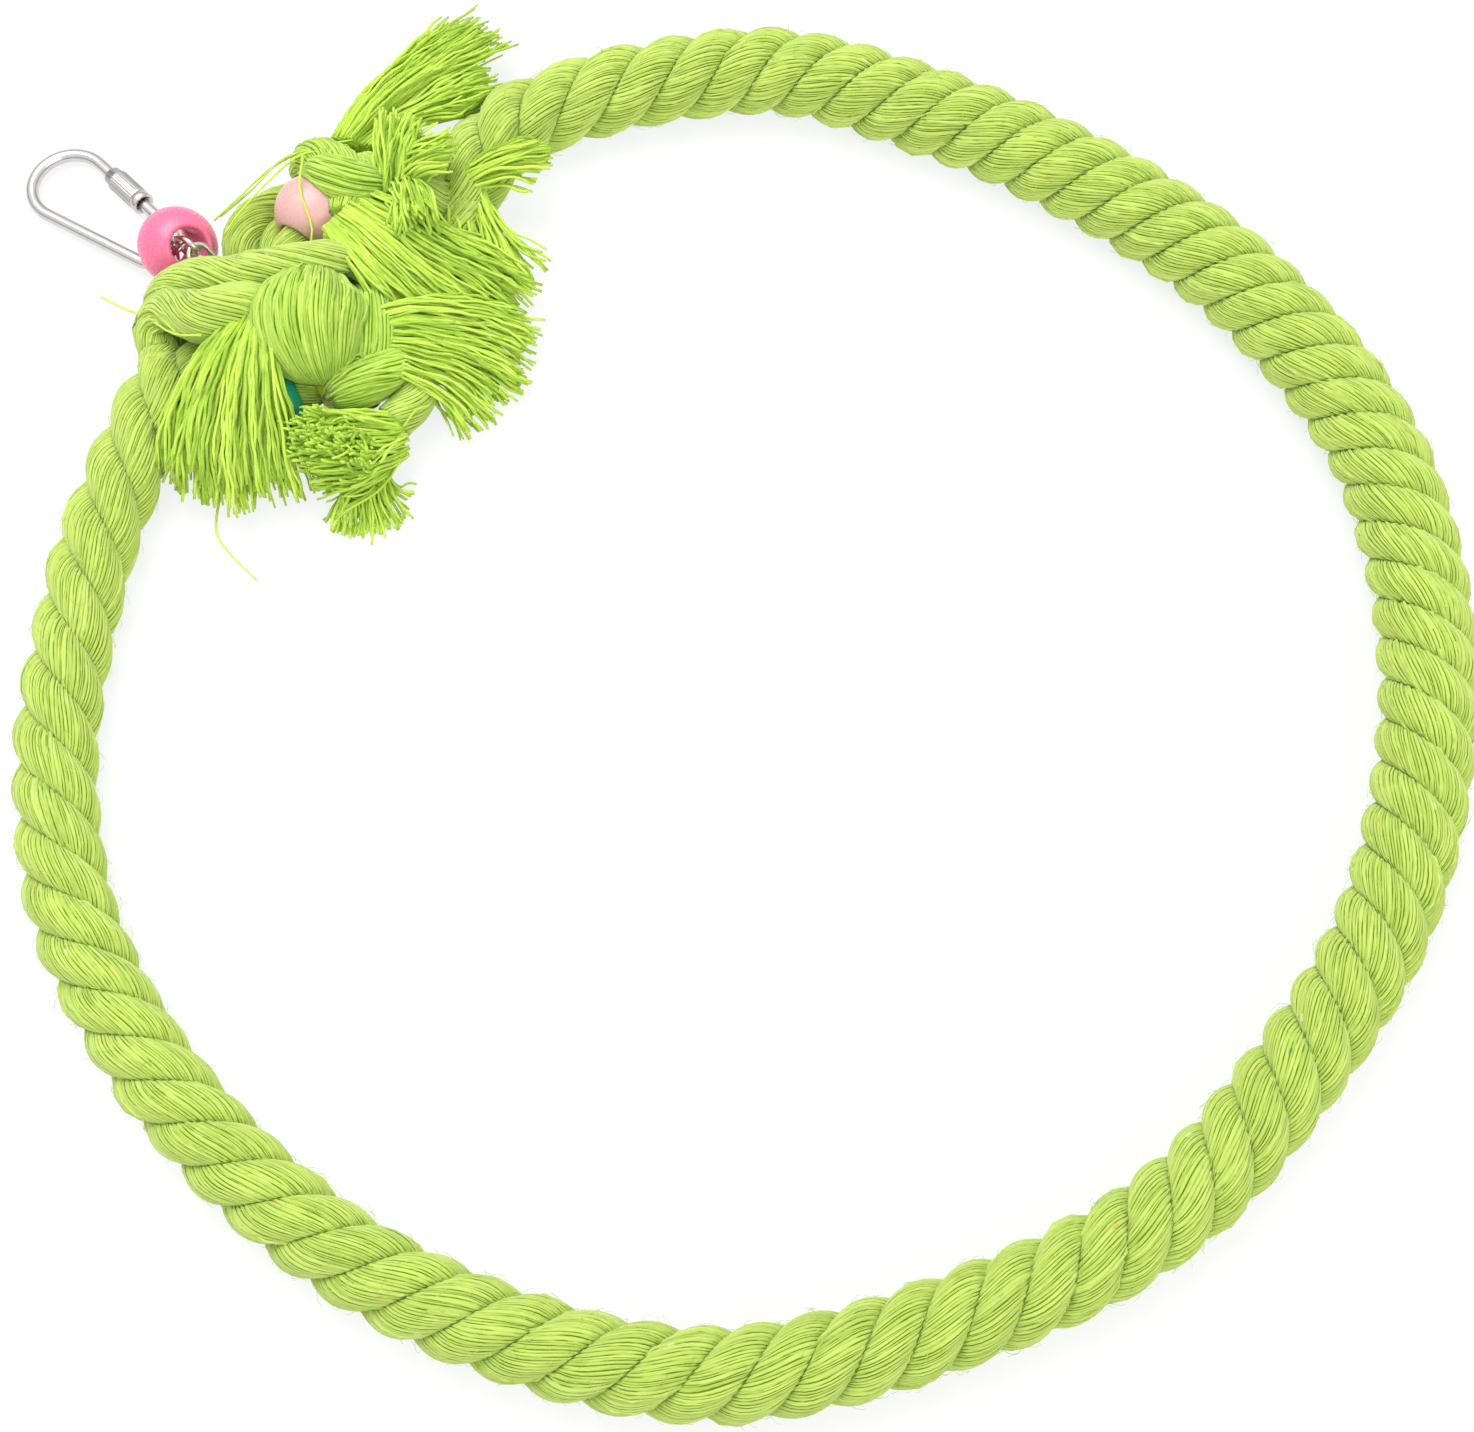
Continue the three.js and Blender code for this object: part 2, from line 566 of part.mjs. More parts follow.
// The hook: a pear-shaped wire loop, open on one side. The link under its narrow end lifts that end a
// little, and its sleeve rests on the surface.
const slant = Math.asin((HOOK_WIDE_RADIUS - HOOK_NARROW_RADIUS) / HOOK_CENTRES);
const wideCentre = HOOK_NARROW_RADIUS + HOOK_CENTRES;
const gateLength = HOOK_CENTRES * Math.cos(slant);
const sleeveReach = wideCentre - HOOK_WIDE_RADIUS * Math.sin(slant) - SLEEVE_TRAVEL - SLEEVE_NECK;
const hookTilt = Math.asin((hookJoint.z - SLEEVE_DIAMETER / 2) / sleeveReach);
const hookOut = inHangPlane(hookTilt);
const hookPoint = (out, side) =>
  hookJoint.clone().addScaledVector(hookOut, out).addScaledVector(hangSide, side);
const gatePoint = (reach) => hookPoint(
  HOOK_NARROW_RADIUS * (1 - Math.sin(slant)) + reach * Math.cos(slant),
  -HOOK_NARROW_RADIUS * Math.cos(slant) - reach * Math.sin(slant),
);
const gateAxis = gatePoint(1).sub(gatePoint(0)).normalize();
const sleeveMouth = gateLength - SLEEVE_TRAVEL - SLEEVE_LENGTH;
const gateEnd = sleeveMouth + GATE_OVERLAP;

function hookArc(middle, radius, fromTurn, toTurn) {
  const points = [];
  for (let i = 0; i <= HOOK_ARC_STEPS; i += 1) {
    const turn = THREE.MathUtils.lerp(fromTurn, toTurn, i / HOOK_ARC_STEPS);
    points.push(hookPoint(middle + radius * Math.cos(turn), radius * Math.sin(turn)));
  }
  return points;
}

const quarter = Math.PI / 2;
const hookLine = [
  gatePoint(gateEnd),
  ...hookArc(HOOK_NARROW_RADIUS, HOOK_NARROW_RADIUS, -quarter - slant, -3 * quarter + slant),
  ...hookArc(wideCentre, HOOK_WIDE_RADIUS, quarter + slant, -quarter - slant),
  gatePoint(gateEnd + GATE_GAP),
];
const hookUp = hangSide.clone().cross(hookOut).negate();
const hookRings = hookLine.map((point, i) => {
  const before = hookLine[Math.max(0, i - 1)];
  const after = hookLine[Math.min(hookLine.length - 1, i + 1)];
  const tangent = after.clone().sub(before).normalize();
  const across = hookUp.clone().cross(tangent);
  const over = tangent.clone().cross(across);
  return ellipseRing(point, across, over, HOOK_WIRE / 2, HOOK_WIRE / 2, WIRE_SIDES);
});
addMesh("hook_frame", toManifold(loft(hookRings)), STEEL);

// The screw sleeve: a plain collar with a wider mouth, a knurled grip and a slimmer neck
function sleeveSolid() {
  const bore = HOOK_WIRE / 2 + SLIDE_CLEARANCE;
  const outer = SLEEVE_DIAMETER / 2;
  const grip = outer - KNURL_DEPTH;
  const gripEnd = SLEEVE_LENGTH - SLEEVE_NECK;
  const neck = SLEEVE_NECK_DIAMETER / 2;
  const mouth = SLEEVE_MOUTH_DIAMETER / 2;
  const body = turned([
    [mouth, 0], [outer, 0], [outer, SLEEVE_COLLAR], [grip, SLEEVE_COLLAR], [grip, gripEnd], [neck, gripEnd],
    [neck, SLEEVE_LENGTH], [bore, SLEEVE_LENGTH], [bore, SLEEVE_MOUTH_DEPTH], [mouth, SLEEVE_MOUTH_DEPTH],
  ], ROUND_SIDES);
  let sleeve = standOn(body, gateAxis, gatePoint(sleeveMouth));
  const gripLength = gripEnd - SLEEVE_COLLAR;
  for (let i = 0; i < KNURL_COUNT; i += 1) {
    const rib = new THREE.BoxGeometry(KNURL_DEPTH * 2, gripLength, KNURL_DEPTH * 2);
    rib.rotateY(Math.PI / 4);
    rib.translate(outer - KNURL_DEPTH * Math.SQRT2, SLEEVE_COLLAR + gripLength / 2 - KNURL_DEPTH, 0);
    rib.rotateY(2 * Math.PI * (i + 0.5) / KNURL_COUNT);
    sleeve = sleeve.add(standOn(rib, gateAxis, gatePoint(sleeveMouth)));
  }
  return sleeve;
}

addMesh("hook_sleeve", sleeveSolid(), STEEL);

// The core wire runs right round inside the rope, through the knot and into both ends of the ferrule
const ferrulePlace = knotPoint(FERRULE);
const ferruleAxis = vector(...FERRULE_AXIS).normalize();
const coreReaches = [CLEARANCE, FERRULE_LENGTH / 2, FERRULE_LEAD];
const corePoints = coreReaches.map((reach) => ferrulePlace.clone().addScaledVector(ferruleAxis, -reach));
corePoints.push(coreJoint);
corePoints.push(ropePointAt(0).addScaledVector(ropePlan.getTangentAt(0), -CORE_LEAD));
for (let i = 0; i <= CORE_POINTS; i += 1) {
  corePoints.push(ropePointAt(i / CORE_POINTS));
}
corePoints.push(ropePointAt(1).addScaledVector(ropePlan.getTangentAt(1), CORE_LEAD));
for (const reach of coreReaches.toReversed()) {
  corePoints.push(ferrulePlace.clone().addScaledVector(ferruleAxis, reach));
}
const coreLine = new THREE.CatmullRomCurve3(corePoints);
coreLine.arcLengthDivisions = ARC_STEPS;
addMesh("core_wire", wireSolid(coreLine, CORE_WIRE_DIAMETER, CORE_STEPS, CORE_SIDES), CORE_STEEL);
spares.push(wireSolid(coreLine, CORE_WIRE_DIAMETER + 2 * CLEARANCE, CORE_STEPS, CORE_SIDES));

function ferruleSolid(extra) {
  const half = FERRULE_LENGTH / 2 + extra;
  const outer = FERRULE_DIAMETER / 2 + extra;
  const bore = CORE_WIRE_DIAMETER / 2 + CLEARANCE;
  const tube = turned([[bore, half], [bore, -half], [outer, -half], [outer, half]], WIRE_SIDES);
  return standOn(tube, ferruleAxis, ferrulePlace);
}

addMesh("core_ferrule", ferruleSolid(0), CORE_STEEL);
spares.push(ferruleSolid(CLEARANCE));

// The three strands of the ring
const strandLines = [];
for (let number = 0; number < STRAND_COUNT; number += 1) {
  const line = strandLine(number);
  strandLines.push(line);
  addMesh(`strand_${number + 1}`, strandSolid(line, 0).subtract(GROUND), COTTON);
  spares.push(strandSolid(line, CLEARANCE));
}

const free = (rows) => rows.map((row) => ({ point: knotPoint(row), radius: row[3] }));

// A tail carries on from the end of its strand, which it meets face to face
function tailRoute(place, way, rows) {
  const start = place.point.clone().addScaledVector(place.tangent, way * CLEARANCE);
  const lead = place.point.clone().addScaledVector(place.tangent, way * TAIL_LEAD);
  const radius = place.radius;
  return [{ point: start, radius }, { point: lead, radius }, ...free(rows)];
}

// The part of a tail that is threaded straight through a bead or two
function threaded(first, last, axis, radius) {
  const reach = BEAD_DIAMETER / 2;
  const from = knotPoint(first).addScaledVector(axis, -reach);
  const to = knotPoint(last).addScaledVector(axis, reach);
  const middle = from.clone().lerp(to, 0.5);
  return [from, middle, to].map((point) => ({ point, radius }));
}

const nearEnd = (number) => strandLines[number][0];
const farEnd = (number) => strandLines[number][strandLines[number].length - 1];

function addSoft(name, shape, look) {
  let solid = shape(0).subtract(GROUND);
  for (const spare of spares) {
    solid = solid.subtract(spare);
  }
  addMesh(name, mainBody(solid), look);
  spares.push(shape(CLEARANCE));
}

const SOFT = [
  ["left_tail_3", [
    ...tailRoute(nearEnd(0), -1, LEFT_TAIL_3_IN),
    ...threaded(GREEN_BEAD, YELLOW_BEAD, threadAxis, THREADED_RADIUS),
    ...free(LEFT_TAIL_3_OUT),
  ]],
  ["right_tail_3", [
    ...tailRoute(farEnd(0), 1, RIGHT_TAIL_3_IN),
    ...threaded(PALE_BEAD, PALE_BEAD, paleAxis.clone().negate(), THREADED_RADIUS),
    ...free(RIGHT_TAIL_3_OUT),
  ]],
  ["right_tail_1", tailRoute(farEnd(2), 1, RIGHT_TAIL_1)],
  ["right_tail_2", tailRoute(farEnd(1), 1, RIGHT_TAIL_2)],
  ["centre_wrap", free(CENTRE_WRAP)],
  ["left_tail_1", tailRoute(nearEnd(2), -1, LEFT_TAIL_1)],
  ["left_tail_2", tailRoute(nearEnd(1), -1, LEFT_TAIL_2)],
  ["top_wrap", free(TOP_WRAP)],
];
for (const [name, route] of SOFT) {
  addSoft(name, (extra) => softTube(route, extra), COTTON);
}
for (const [name, rows] of Object.entries(TASSELS)) {
  addSoft(name, (extra) => tasselSolid(rows, extra), FRAYED_COTTON);
}

// The part's origin is the middle of its box, on the surface that it lies on
const box = new THREE.Box3().setFromObject(group);
const middle = box.getCenter(new THREE.Vector3());
const shift = vector(-middle.x, -middle.y, -box.min.z);
for (const mesh of group.children) {
  mesh.geometry.translate(shift.x, shift.y, shift.z);
}

// Where the moving pieces turn or slide
const joint = (place, axis) => ({ place: place.clone().add(shift).toArray(), axis: axis.toArray() });
group.userData.joints = {
  core: joint(coreJoint, hangSide),
  middle: joint(middleJoint, hangSide),
  high: joint(highJoint, hangSide),
  inner: joint(innerJoint, hangSide),
  low: joint(lowJoint, hangSide),
  hook: joint(hookJoint, hangSide),
  sleeve: joint(gatePoint(sleeveMouth), gateAxis),
  beads: BEADS.map(([name, place, axis]) => [name, joint(place, axis)]),
  hookLoop: joint(hookPoint(wideCentre, 0), hookUp),
  hoopCentre: joint(vector(0, 0, 0), UP),
};

export default group;
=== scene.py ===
"""Dresses the rope ring bird swing: yarn-covered rope, knot, tassels, beads, chain and screw hook."""

import json
import math
from functools import partial

import bmesh
import bpy
import numpy as np
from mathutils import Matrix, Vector


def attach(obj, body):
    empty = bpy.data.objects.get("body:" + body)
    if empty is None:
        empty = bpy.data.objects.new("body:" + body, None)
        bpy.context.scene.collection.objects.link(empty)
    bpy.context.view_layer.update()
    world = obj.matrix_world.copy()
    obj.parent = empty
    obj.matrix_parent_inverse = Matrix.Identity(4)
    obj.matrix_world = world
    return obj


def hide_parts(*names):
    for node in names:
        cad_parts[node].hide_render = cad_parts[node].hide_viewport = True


bl_info = {
    "name": "Rope Ring Bird Swing",
    "version": (1, 0, 0),
    "blender": (4, 5, 0),
    "location": "3D View > Sidebar > Swing",
    "description": "Builds the looks of a rope ring bird swing around its solid frame",
    "category": "Object",
}

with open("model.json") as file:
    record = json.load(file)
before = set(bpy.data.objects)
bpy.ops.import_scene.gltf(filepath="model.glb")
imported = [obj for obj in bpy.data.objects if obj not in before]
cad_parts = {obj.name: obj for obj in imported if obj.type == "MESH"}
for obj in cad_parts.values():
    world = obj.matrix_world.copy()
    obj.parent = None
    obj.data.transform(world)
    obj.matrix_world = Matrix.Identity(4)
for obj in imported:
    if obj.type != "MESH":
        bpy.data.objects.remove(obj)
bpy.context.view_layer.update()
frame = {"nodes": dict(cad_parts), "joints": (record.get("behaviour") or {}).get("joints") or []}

# The sizes and routes below are in millimetres, and Blender works in metres
MM = 0.001
UP = np.array([0.0, 0.0, 1.0])

# The rope's run, as in the solids: radius of the ring, pressed depth, and where its twist is tightest
HOOP_RADIUS = 154
PRESSED_FLAT = 0.8
LAY_LOOSE, LAY_MIDDLE, LAY_TIGHT = 45, 35.15, 30.5
TIGHT_SPOT, TIGHT_REACH, OPEN_REACH = 0.74, 0.27, 0.1
KNOT_ANGLE, HANGER_ANGLE = 135, 142.8
STRANDS = 3
# Room kept round the core wire, and on each side of the face where two strands press on each other
CORE_GAP, PRESS_GAP = 1.1, 0.06
# Stations along the rope: for the skin of its strands, and where only its ends or its surface are asked for
SKIN_STATIONS, ROUTE_STATIONS = 900, 760
HOOP_ROUTE = [
    (152.5, -1), (163, -3), (175, -3), (190, 0), (205, 2.5), (225, 1), (245, 1), (268, 2), (292, -2.5),
    (306, -2), (320, -3.5), (335, -1.5), (350, 0), (365, 2), (380, 3.5), (400, 0), (420, -2.5), (434, -0.5),
    (446, 4), (458, 2),
]
ROPE_FAR_END = [(59, 36.5), (50, 30), (43, 19.5), (37, 9)]

# Knot routes: right, away and up from the knot's middle, then the tail's radius there
LEFT_TAIL_1 = [
    (-31.4, -29.5, 14.5, 3.9), (-27.8, -26.2, 17.5, 4.4), (-22, -28, 20, 5.3), (-15.5, -30.5, 22, 6.2),
    (-7, -27.5, 21, 6), (1, -22, 16, 4.6),
]
LEFT_TAIL_2 = [
    (-25.2, -30, 3, 3.7), (-27.4, -25, 6.4, 3.7), (-30.4, -21.2, 11.6, 3.8), (-27.6, -19.8, 16.6, 4),
    (-20, -18.6, 19.8, 4.6), (-10.5, -19, 21.4, 4.6), (-2, -18.5, 23.8, 4.5), (6, -17.6, 25, 4.4),
    (13, -15.5, 23.6, 4), (19, -11.5, 18.5, 3.4),
]
LEFT_TAIL_3_IN = [
    (-18.6, -33, 11.6, 3.5), (-14.8, -29.4, 11.4, 3.4), (-10.2, -31, 11.4, 3.4), (-9.8, -36.2, 11.2, 3.4),
    (-14, -41.6, 10.4, 3.4), (-16.6, -45.4, 9.8, 3.3), (-17.4, -48.9, 9.4, 3.3), (-16, -51.6, 9.4, 3.3),
    (-13.6, -52.6, 9.7, 3.5),
]
LEFT_TAIL_3_OUT = [(29.2, -34, 10, 3.8), (32.6, -38.2, 9.6, 3.9), (32, -44.6, 8.8, 4.5), (27, -51, 8.4, 4.6)]
RIGHT_TAIL_1 = [
    (26, 8.5, 5.2, 3.8), (20, 10.8, 7.6, 3.8), (12, 12, 8.7, 3.9), (2, 11.5, 9, 4), (-6, 6.5, 11.5, 4.2),
    (-10.5, 0.5, 13.5, 4.4), (-12, -6, 13.5, 4.4), (-10.5, -11.5, 10.5, 4),
]
RIGHT_TAIL_2 = [
    (39.5, -1, 6.4, 3.8), (33, -3, 4.6, 3.8), (25, -4.4, 5.2, 3.8), (16, -7, 6.6, 3.9), (8, -10, 8, 3.9),
    (1, -11.2, 9.5, 3.7), (-4, -8.4, 11.6, 3.4), (-4.8, -3.2, 12, 3.2), (-3.4, 1.8, 10.8, 3),
]
RIGHT_TAIL_3_IN = [(29.6, 6.8, 18.2, 3.8), (24.6, 8.6, 19.4, 3.8), (18.4, 12.6, 19.2, 3.8)]
RIGHT_TAIL_3_OUT = [(-0.2, -12, 17.2, 4), (-4, -15, 13.5, 3.6)]
CENTRE_WRAP = [
    (6.2, -17.8, 17.2, 2.5), (6.4, -18.6, 17.4, 5.5), (7, -22.4, 18.4, 10), (7.6, -28, 18.8, 13.4),
    (8.4, -33.6, 18.2, 13.4), (10, -38.8, 16.2, 10.4), (11, -41.6, 14, 5.6), (11.2, -42.4, 13, 2),
]
SIDE_WRAP = [
    (17, -18, 12, 3), (20.5, -24, 16, 4.6), (22, -31, 16.5, 5.4), (22, -36.5, 14, 5.2), (20, -40.6, 11, 3),
]
UNDER_WRAP = [
    (13, -46.4, 11, 2.4), (17, -45.4, 13, 4.6), (21.5, -42.8, 14, 5.4), (26, -39.2, 13.4, 5.2),
    (29, -35, 11.5, 3.8),
]
TOP_WRAP = [
    (0.5, 15.5, 13, 3), (5, 15, 18.5, 5), (10.5, 11.5, 21, 6.2), (15, 5, 22, 6.4), (15.5, -2, 21, 5.6),
]
TOP_BAND = [
    (5, 10.5, 18, 3), (8.6, 8, 22.5, 5), (12.8, 5.4, 24.8, 5.8), (17, 4.6, 24.6, 5.6), (21, 7, 21.5, 4),
]
THREADED_RADIUS = 3.9
# How far a tail reaches back into its strand and straight on from its end, and its share of the radius there
TAIL_ROOT, TAIL_LEAD = 2.5, 4
ROOT_SHARE, LEAD_SHARE = 0.96, 0.97

# Tassels, each of one or more fans: both edges of a fan from its root to its tips, right, away and up from
# the knot's middle. Then how far the tips bow out, half the thickness at root and tips, and the yarns.
TASSELS = {
    "tassel_left": [(
        [(-8.3, -29.7, 21), (-17.4, -42.5, 22.5), (-24, -55, 17.5), (-26.5, -68, 9)],
        [(-1, -34.5, 23), (2, -46, 22), (4, -56, 15.5), (7, -68.5, 4)], 5, (3.5, 3.5), 380,
    )],
    "tassel_right": [(
        [(24, -26, 17), (35, -22, 16.5), (47, -19, 10), (60, -20.5, 3)],
        [(22, -39, 13), (31, -42, 12), (39, -44, 8), (45.5, -50.5, 1)], 5, (4, 3.5), 300,
    )],
    "tassel_bottom": [
        (
            [(28, -49.5, 8), (20, -51, 14), (12.5, -53.5, 17), (9, -55.5, 21.5)],
            [(28, -57, 7), (19, -62.5, 11), (10, -64.5, 14), (7.5, -65, 18.5)], 2, (3.5, 4), 190,
        ),
        (
            [(28, -53, 7), (19.5, -58.5, 10), (9, -62, 12.5)],
            [(28.5, -60, 6), (21.5, -67.5, 7), (11, -70, 7.5)], 2, (3, 3.5), 130,
        ),
        (
            [(27.5, -51.5, 8.5), (22.5, -53, 14), (17.5, -55, 17.5), (16, -56, 22)],
            [(28, -58, 7.5), (22.5, -62.5, 12.5), (16.5, -64.5, 15.5), (15, -65, 20)], 2, (3, 3.5), 110,
        ),
        (
            [(28, -54, 8), (25, -57.5, 13.5), (21.5, -60, 16), (20.5, -60.5, 20.5)],
            [(28.5, -59.5, 6.5), (25.5, -65, 10), (21.5, -67.5, 12.5), (20.5, -68, 17)], 1.5, (3, 3.5), 90,
        ),
    ],
    "tassel_fringe": [(
        [(18, -62, 5), (14, -70, 3.5), (11, -76, 1)],
        [(25, -61, 5), (29, -66, 3.5), (33.5, -66, 1)], 7, (3, 1.5), 90,
    )],
    "tassel_sweep": [(
        [(20, 3, 22), (34.6, -3, 19.5), (48, -5.7, 11), (61, -11.5, 3)],
        [(10, -9, 23), (18, -18, 21), (25, -23, 14.5), (31, -25, 7)], 3, (4, 3.5), 330,
    )],
    "tassel_top": [
        (
            [(10.1, 18, 20), (16.5, 32.9, 20), (27.3, 51.5, 14), (39.2, 67, 8)],
            [(16, 18, 20), (25, 31.6, 20), (35.6, 46.6, 14), (47.7, 60, 8)], 3, (4.5, 2.5), 190,
        ),
        (
            [(15, 18, 19), (27, 33, 17), (37.7, 46.1, 12), (49.7, 52, 8)],
            [(20, 18, 18), (30.1, 27.9, 16), (39.5, 33, 12), (47.1, 36, 9)], 3, (3.5, 2), 110,
        ),
    ],
    "tassel_short": [
        (
            [(22, 4.7, 20), (22.5, 10.2, 26), (24, 17, 28.5)],
            [(28, 8.8, 22), (29.2, 15, 27), (32.5, 20.5, 29)], 3, (3.5, 2.5), 90,
        ),
        (
            [(26.8, 11.7, 20), (32.4, 14.1, 26), (39, 17, 25)],
            [(27.6, 7.1, 20), (33.8, 6.1, 26), (39.5, 8.1, 24)], 3, (3, 2.5), 65,
        ),
        (
            [(23.8, 7, 20), (25.4, -2.5, 27), (28, -7.5, 25.5)],
            [(29.4, 8.3, 20), (34.1, -1.1, 25.5), (36, -9, 22.5)], 2, (3, 2.5), 80,
        ),
    ],
    "tassel_end": [
        (
            [(38, 14, 14), (50.5, 18.5, 19), (60, 22, 18.5)],
            [(38, 8, 12), (50.5, 13.3, 16.5), (62, 15, 15.5)], 2, (4, 2.5), 80,
        ),
        (
            [(36, 9, 12), (37.3, 3.2, 10.5), (36, -3, 6)],
            [(46, 11, 12), (50.5, 0.5, 9), (58, -9, 3)], 4, (3.5, 3), 140,
        ),
    ],
}

# Single yarns that have come loose from the knot
LOOSE_YARNS = [
    [(-15.7, -37.4, 25), (-23.3, -34.6, 21), (-31, -28.7, 18.5), (-39.7, -21.4, 11), (-47.7, -14.5, 5)],
    [(-14, -66, 3), (-14.4, -76.8, 1.5), (-11, -81.7, 0.8), (-4.2, -88.4, 0.6)],
    [(5.3, 9, 29.5), (5, 0.5, 28.3), (7.6, -7.5, 24.2), (6.8, -13.6, 22), (7.3, -24, 32.8)],
    [(15.6, 17.5, 24), (5.6, 14.3, 25), (-3.4, 10.5, 23), (-11.3, 3.4, 21), (-17.4, -2.4, 19.4)],
    [(15, 14.6, 24), (4.2, 11.9, 26), (-4.9, 6.5, 22), (-11.9, -1.6, 20), (-14.9, -6.6, 19)],
    [(14.4, 15.3, 25), (0, 11.7, 25), (-9, 4.8, 21), (-16.5, -0.2, 18)],
    [(30.1, -54.1, 12), (32.9, -49.7, 12), (36, -48.4, 12)],
    [(24, 45, 15.5), (28.5, 52.2, 14), (32.4, 59.2, 12), (36.5, 64.8, 10), (41.2, 71.5, 8)],
]

# Yarns round a strand of the ring, and the millimetres in which they wind once round a strand and a tail
STRAND_YARNS, STRAND_TWIST, TAIL_TWIST = 36, 25, 55
# Points across one yarn in a strand's skin, and the millimetres from one yarn to the next
YARN_POINTS, YARN_SPACING = 3, 0.92
# Points along a raised yarn, a frayed one, a stray one, a fibre and the edge of a fan
RAISED_POINTS, FRAYED_POINTS, STRAY_POINTS, FIBRE_POINTS, EDGE_POINTS = 14, 15, 16, 5, 40
# A stray yarn's share of the common thickness, and the millimetres between stations along a knot strand
STRAY_SHARE, KNOT_SPACING = 0.8, 1.1
# How yarns wander, sink and bulge and strands swell: millimetres between changes, and their spread
YARN_WANDER, YARN_SINK, YARN_BULGE, STRAND_LUMPS = (7, 0.24), (5, 0.4), (9, 0.018), (12, 0.012)
# Furrows between yarns as a share of the radius, yarns raised on each strand and how many stations they span
STRAND_FURROW, STRAND_RAISED, STRAND_SPAN = 0.07, 80, 28
TAIL_FURROW, TAIL_RAISED, TAIL_SPAN = 0.065, 18, 24
WRAP_SPAN = 40
# Fibres: how far round a strand they stand, in radians, their length and their lift
FIBRE_LEAN, FIBRE_LENGTH, FIBRE_LIFT = 1.1, (1.5, 4), (0.3, 1.1)
# Tassels: yarns in a clump, lengths of clumps and of yarns as shares of the fan's, and waves of the crimp
CLUMP_YARNS, CLUMP_LENGTH, YARN_LENGTH, CRIMP_WAVE = 9, (0.84, 1.02), (0.84, 1.05), (8, 15)
# Soft strands swell past the radius of their routes
TAIL_SWELL, WRAP_SWELL = 1.04, 1.03
# A yarn takes its own tint from its number: the first number of each kind, and the step from piece to piece
YARN_NUMBERS = {
    "strand": (0, 100), "tail": (400, 50), "wrap": (800, 100), "tassel": (1200, 400), "lint": (4000, 0),
    "stray": (4900, 0), "raised": (5000, 0),
}
# Starts of the random draws
SEEDS = {
    "strand": 11, "tail": 40, "wrap": 61, "tassel": 70, "lint": 5,
    "raised_strand": 21, "raised_tail": 22, "raised_wrap": 23,
}

# Chain and hook, as in the solids: room at the joints, the gate's opening and the sleeve that closes it
CHAIN_CLEARANCE, CORE_CLEARANCE, CORE_WIRE = 0.3, 0.7, 1.8
GATE_GAP, GATE_OVERLAP, SLIDE_CLEARANCE = 5, 1.6, 0.25
SLEEVE_LENGTH, SLEEVE_RADIUS, SLEEVE_COLLAR = 13, 2.9, 2.4
SLEEVE_NECK, NECK_RADIUS = 2, 2.4
MOUTH_RADIUS, MOUTH_DEPTH = 2.25, 1.0
KNURLS, KNURL_HEIGHT = 24, 0.28
# How far the grip lies below the collar, its stations, the eased edges and the flat ring round the mouth
GRIP_DROP, GRIP_STATIONS, EASE, MOUTH_FLAT = 0.3, 24, 0.25, 2.7
# Joints of the chain from the rope to the hook
CHAIN_JOINTS = (
    "link_5_on_core_wire", "link_4_on_link_5", "link_3_on_link_4", "link_2_on_link_3", "link_1_on_link_2",
    "hook_on_link_1",
)

# Floor from its middle to its edge, and how far it lies below the rope
FLOOR_REACH, FLOOR_DROP = 4000, 0.2
# Soft lamps: place in metres, width and power
LAMPS = {
    "overhead softbox": ((-0.25, 0.35, 0.95), 0.8, 9.0),
    "front softbox": ((0.55, -0.75, 0.8), 0.9, 5.0),
}
# Camera: sensor width, focal length as a share of it, and where it aims from the ring's centre
SENSOR_WIDTH, LENS_RATIO = 36, 1900 / 1474
AIM_OFFSET = np.array([-0.4, -16.9, 10])


def linear(code):
    """The linear colour of an sRGB hex value."""
    parts = [int(code[i : i + 2], 16) / 255 for i in (1, 3, 5)]
    return [c / 12.92 if c <= 0.04045 else ((c + 0.055) / 1.055) ** 2.4 for c in parts]


# Places that the solids already fix: joints of the chain, bores of the beads
JOINTS = {joint["name"]: joint for joint in frame["joints"]}


def joint_place(name):
    return np.array(JOINTS[name]["pos_m"], float) / MM


def joint_axis(name):
    axis = np.array(JOINTS[name]["axis"], float)
    return axis / np.linalg.norm(axis)


def around_circle(angle, reach):
    return reach * np.array([math.cos(math.radians(angle)), math.sin(math.radians(angle)), 0.0])


ANCHOR = joint_place("link_5_on_core_wire")
HOOP_CENTRE = (ANCHOR - around_circle(HANGER_ANGLE, HOOP_RADIUS)) * np.array([1, 1, 0])
KNOT = HOOP_CENTRE + around_circle(KNOT_ANGLE, HOOP_RADIUS)
BEADS = ("pink", "pale", "green", "yellow")


def half(setting):
    """Half of a length from the sidebar, in millimetres."""
    return setting / MM / 2


def unit(ways):
    return ways / np.linalg.norm(ways, axis=-1, keepdims=True)


def squared(ways, axes):
    """The part of each direction that stands square to its axis."""
    return unit(ways - np.sum(ways * axes, axis=-1, keepdims=True) * axes)


def turned(angle, first, second):
    """The direction at an angle from the first one towards the second."""
    return np.cos(angle)[..., None] * first + np.sin(angle)[..., None] * second


def columns_at(places, reach, values):
    """Each column of the values, which are given at every reach, at other places."""
    return np.column_stack([np.interp(places, reach, column) for column in values.T])


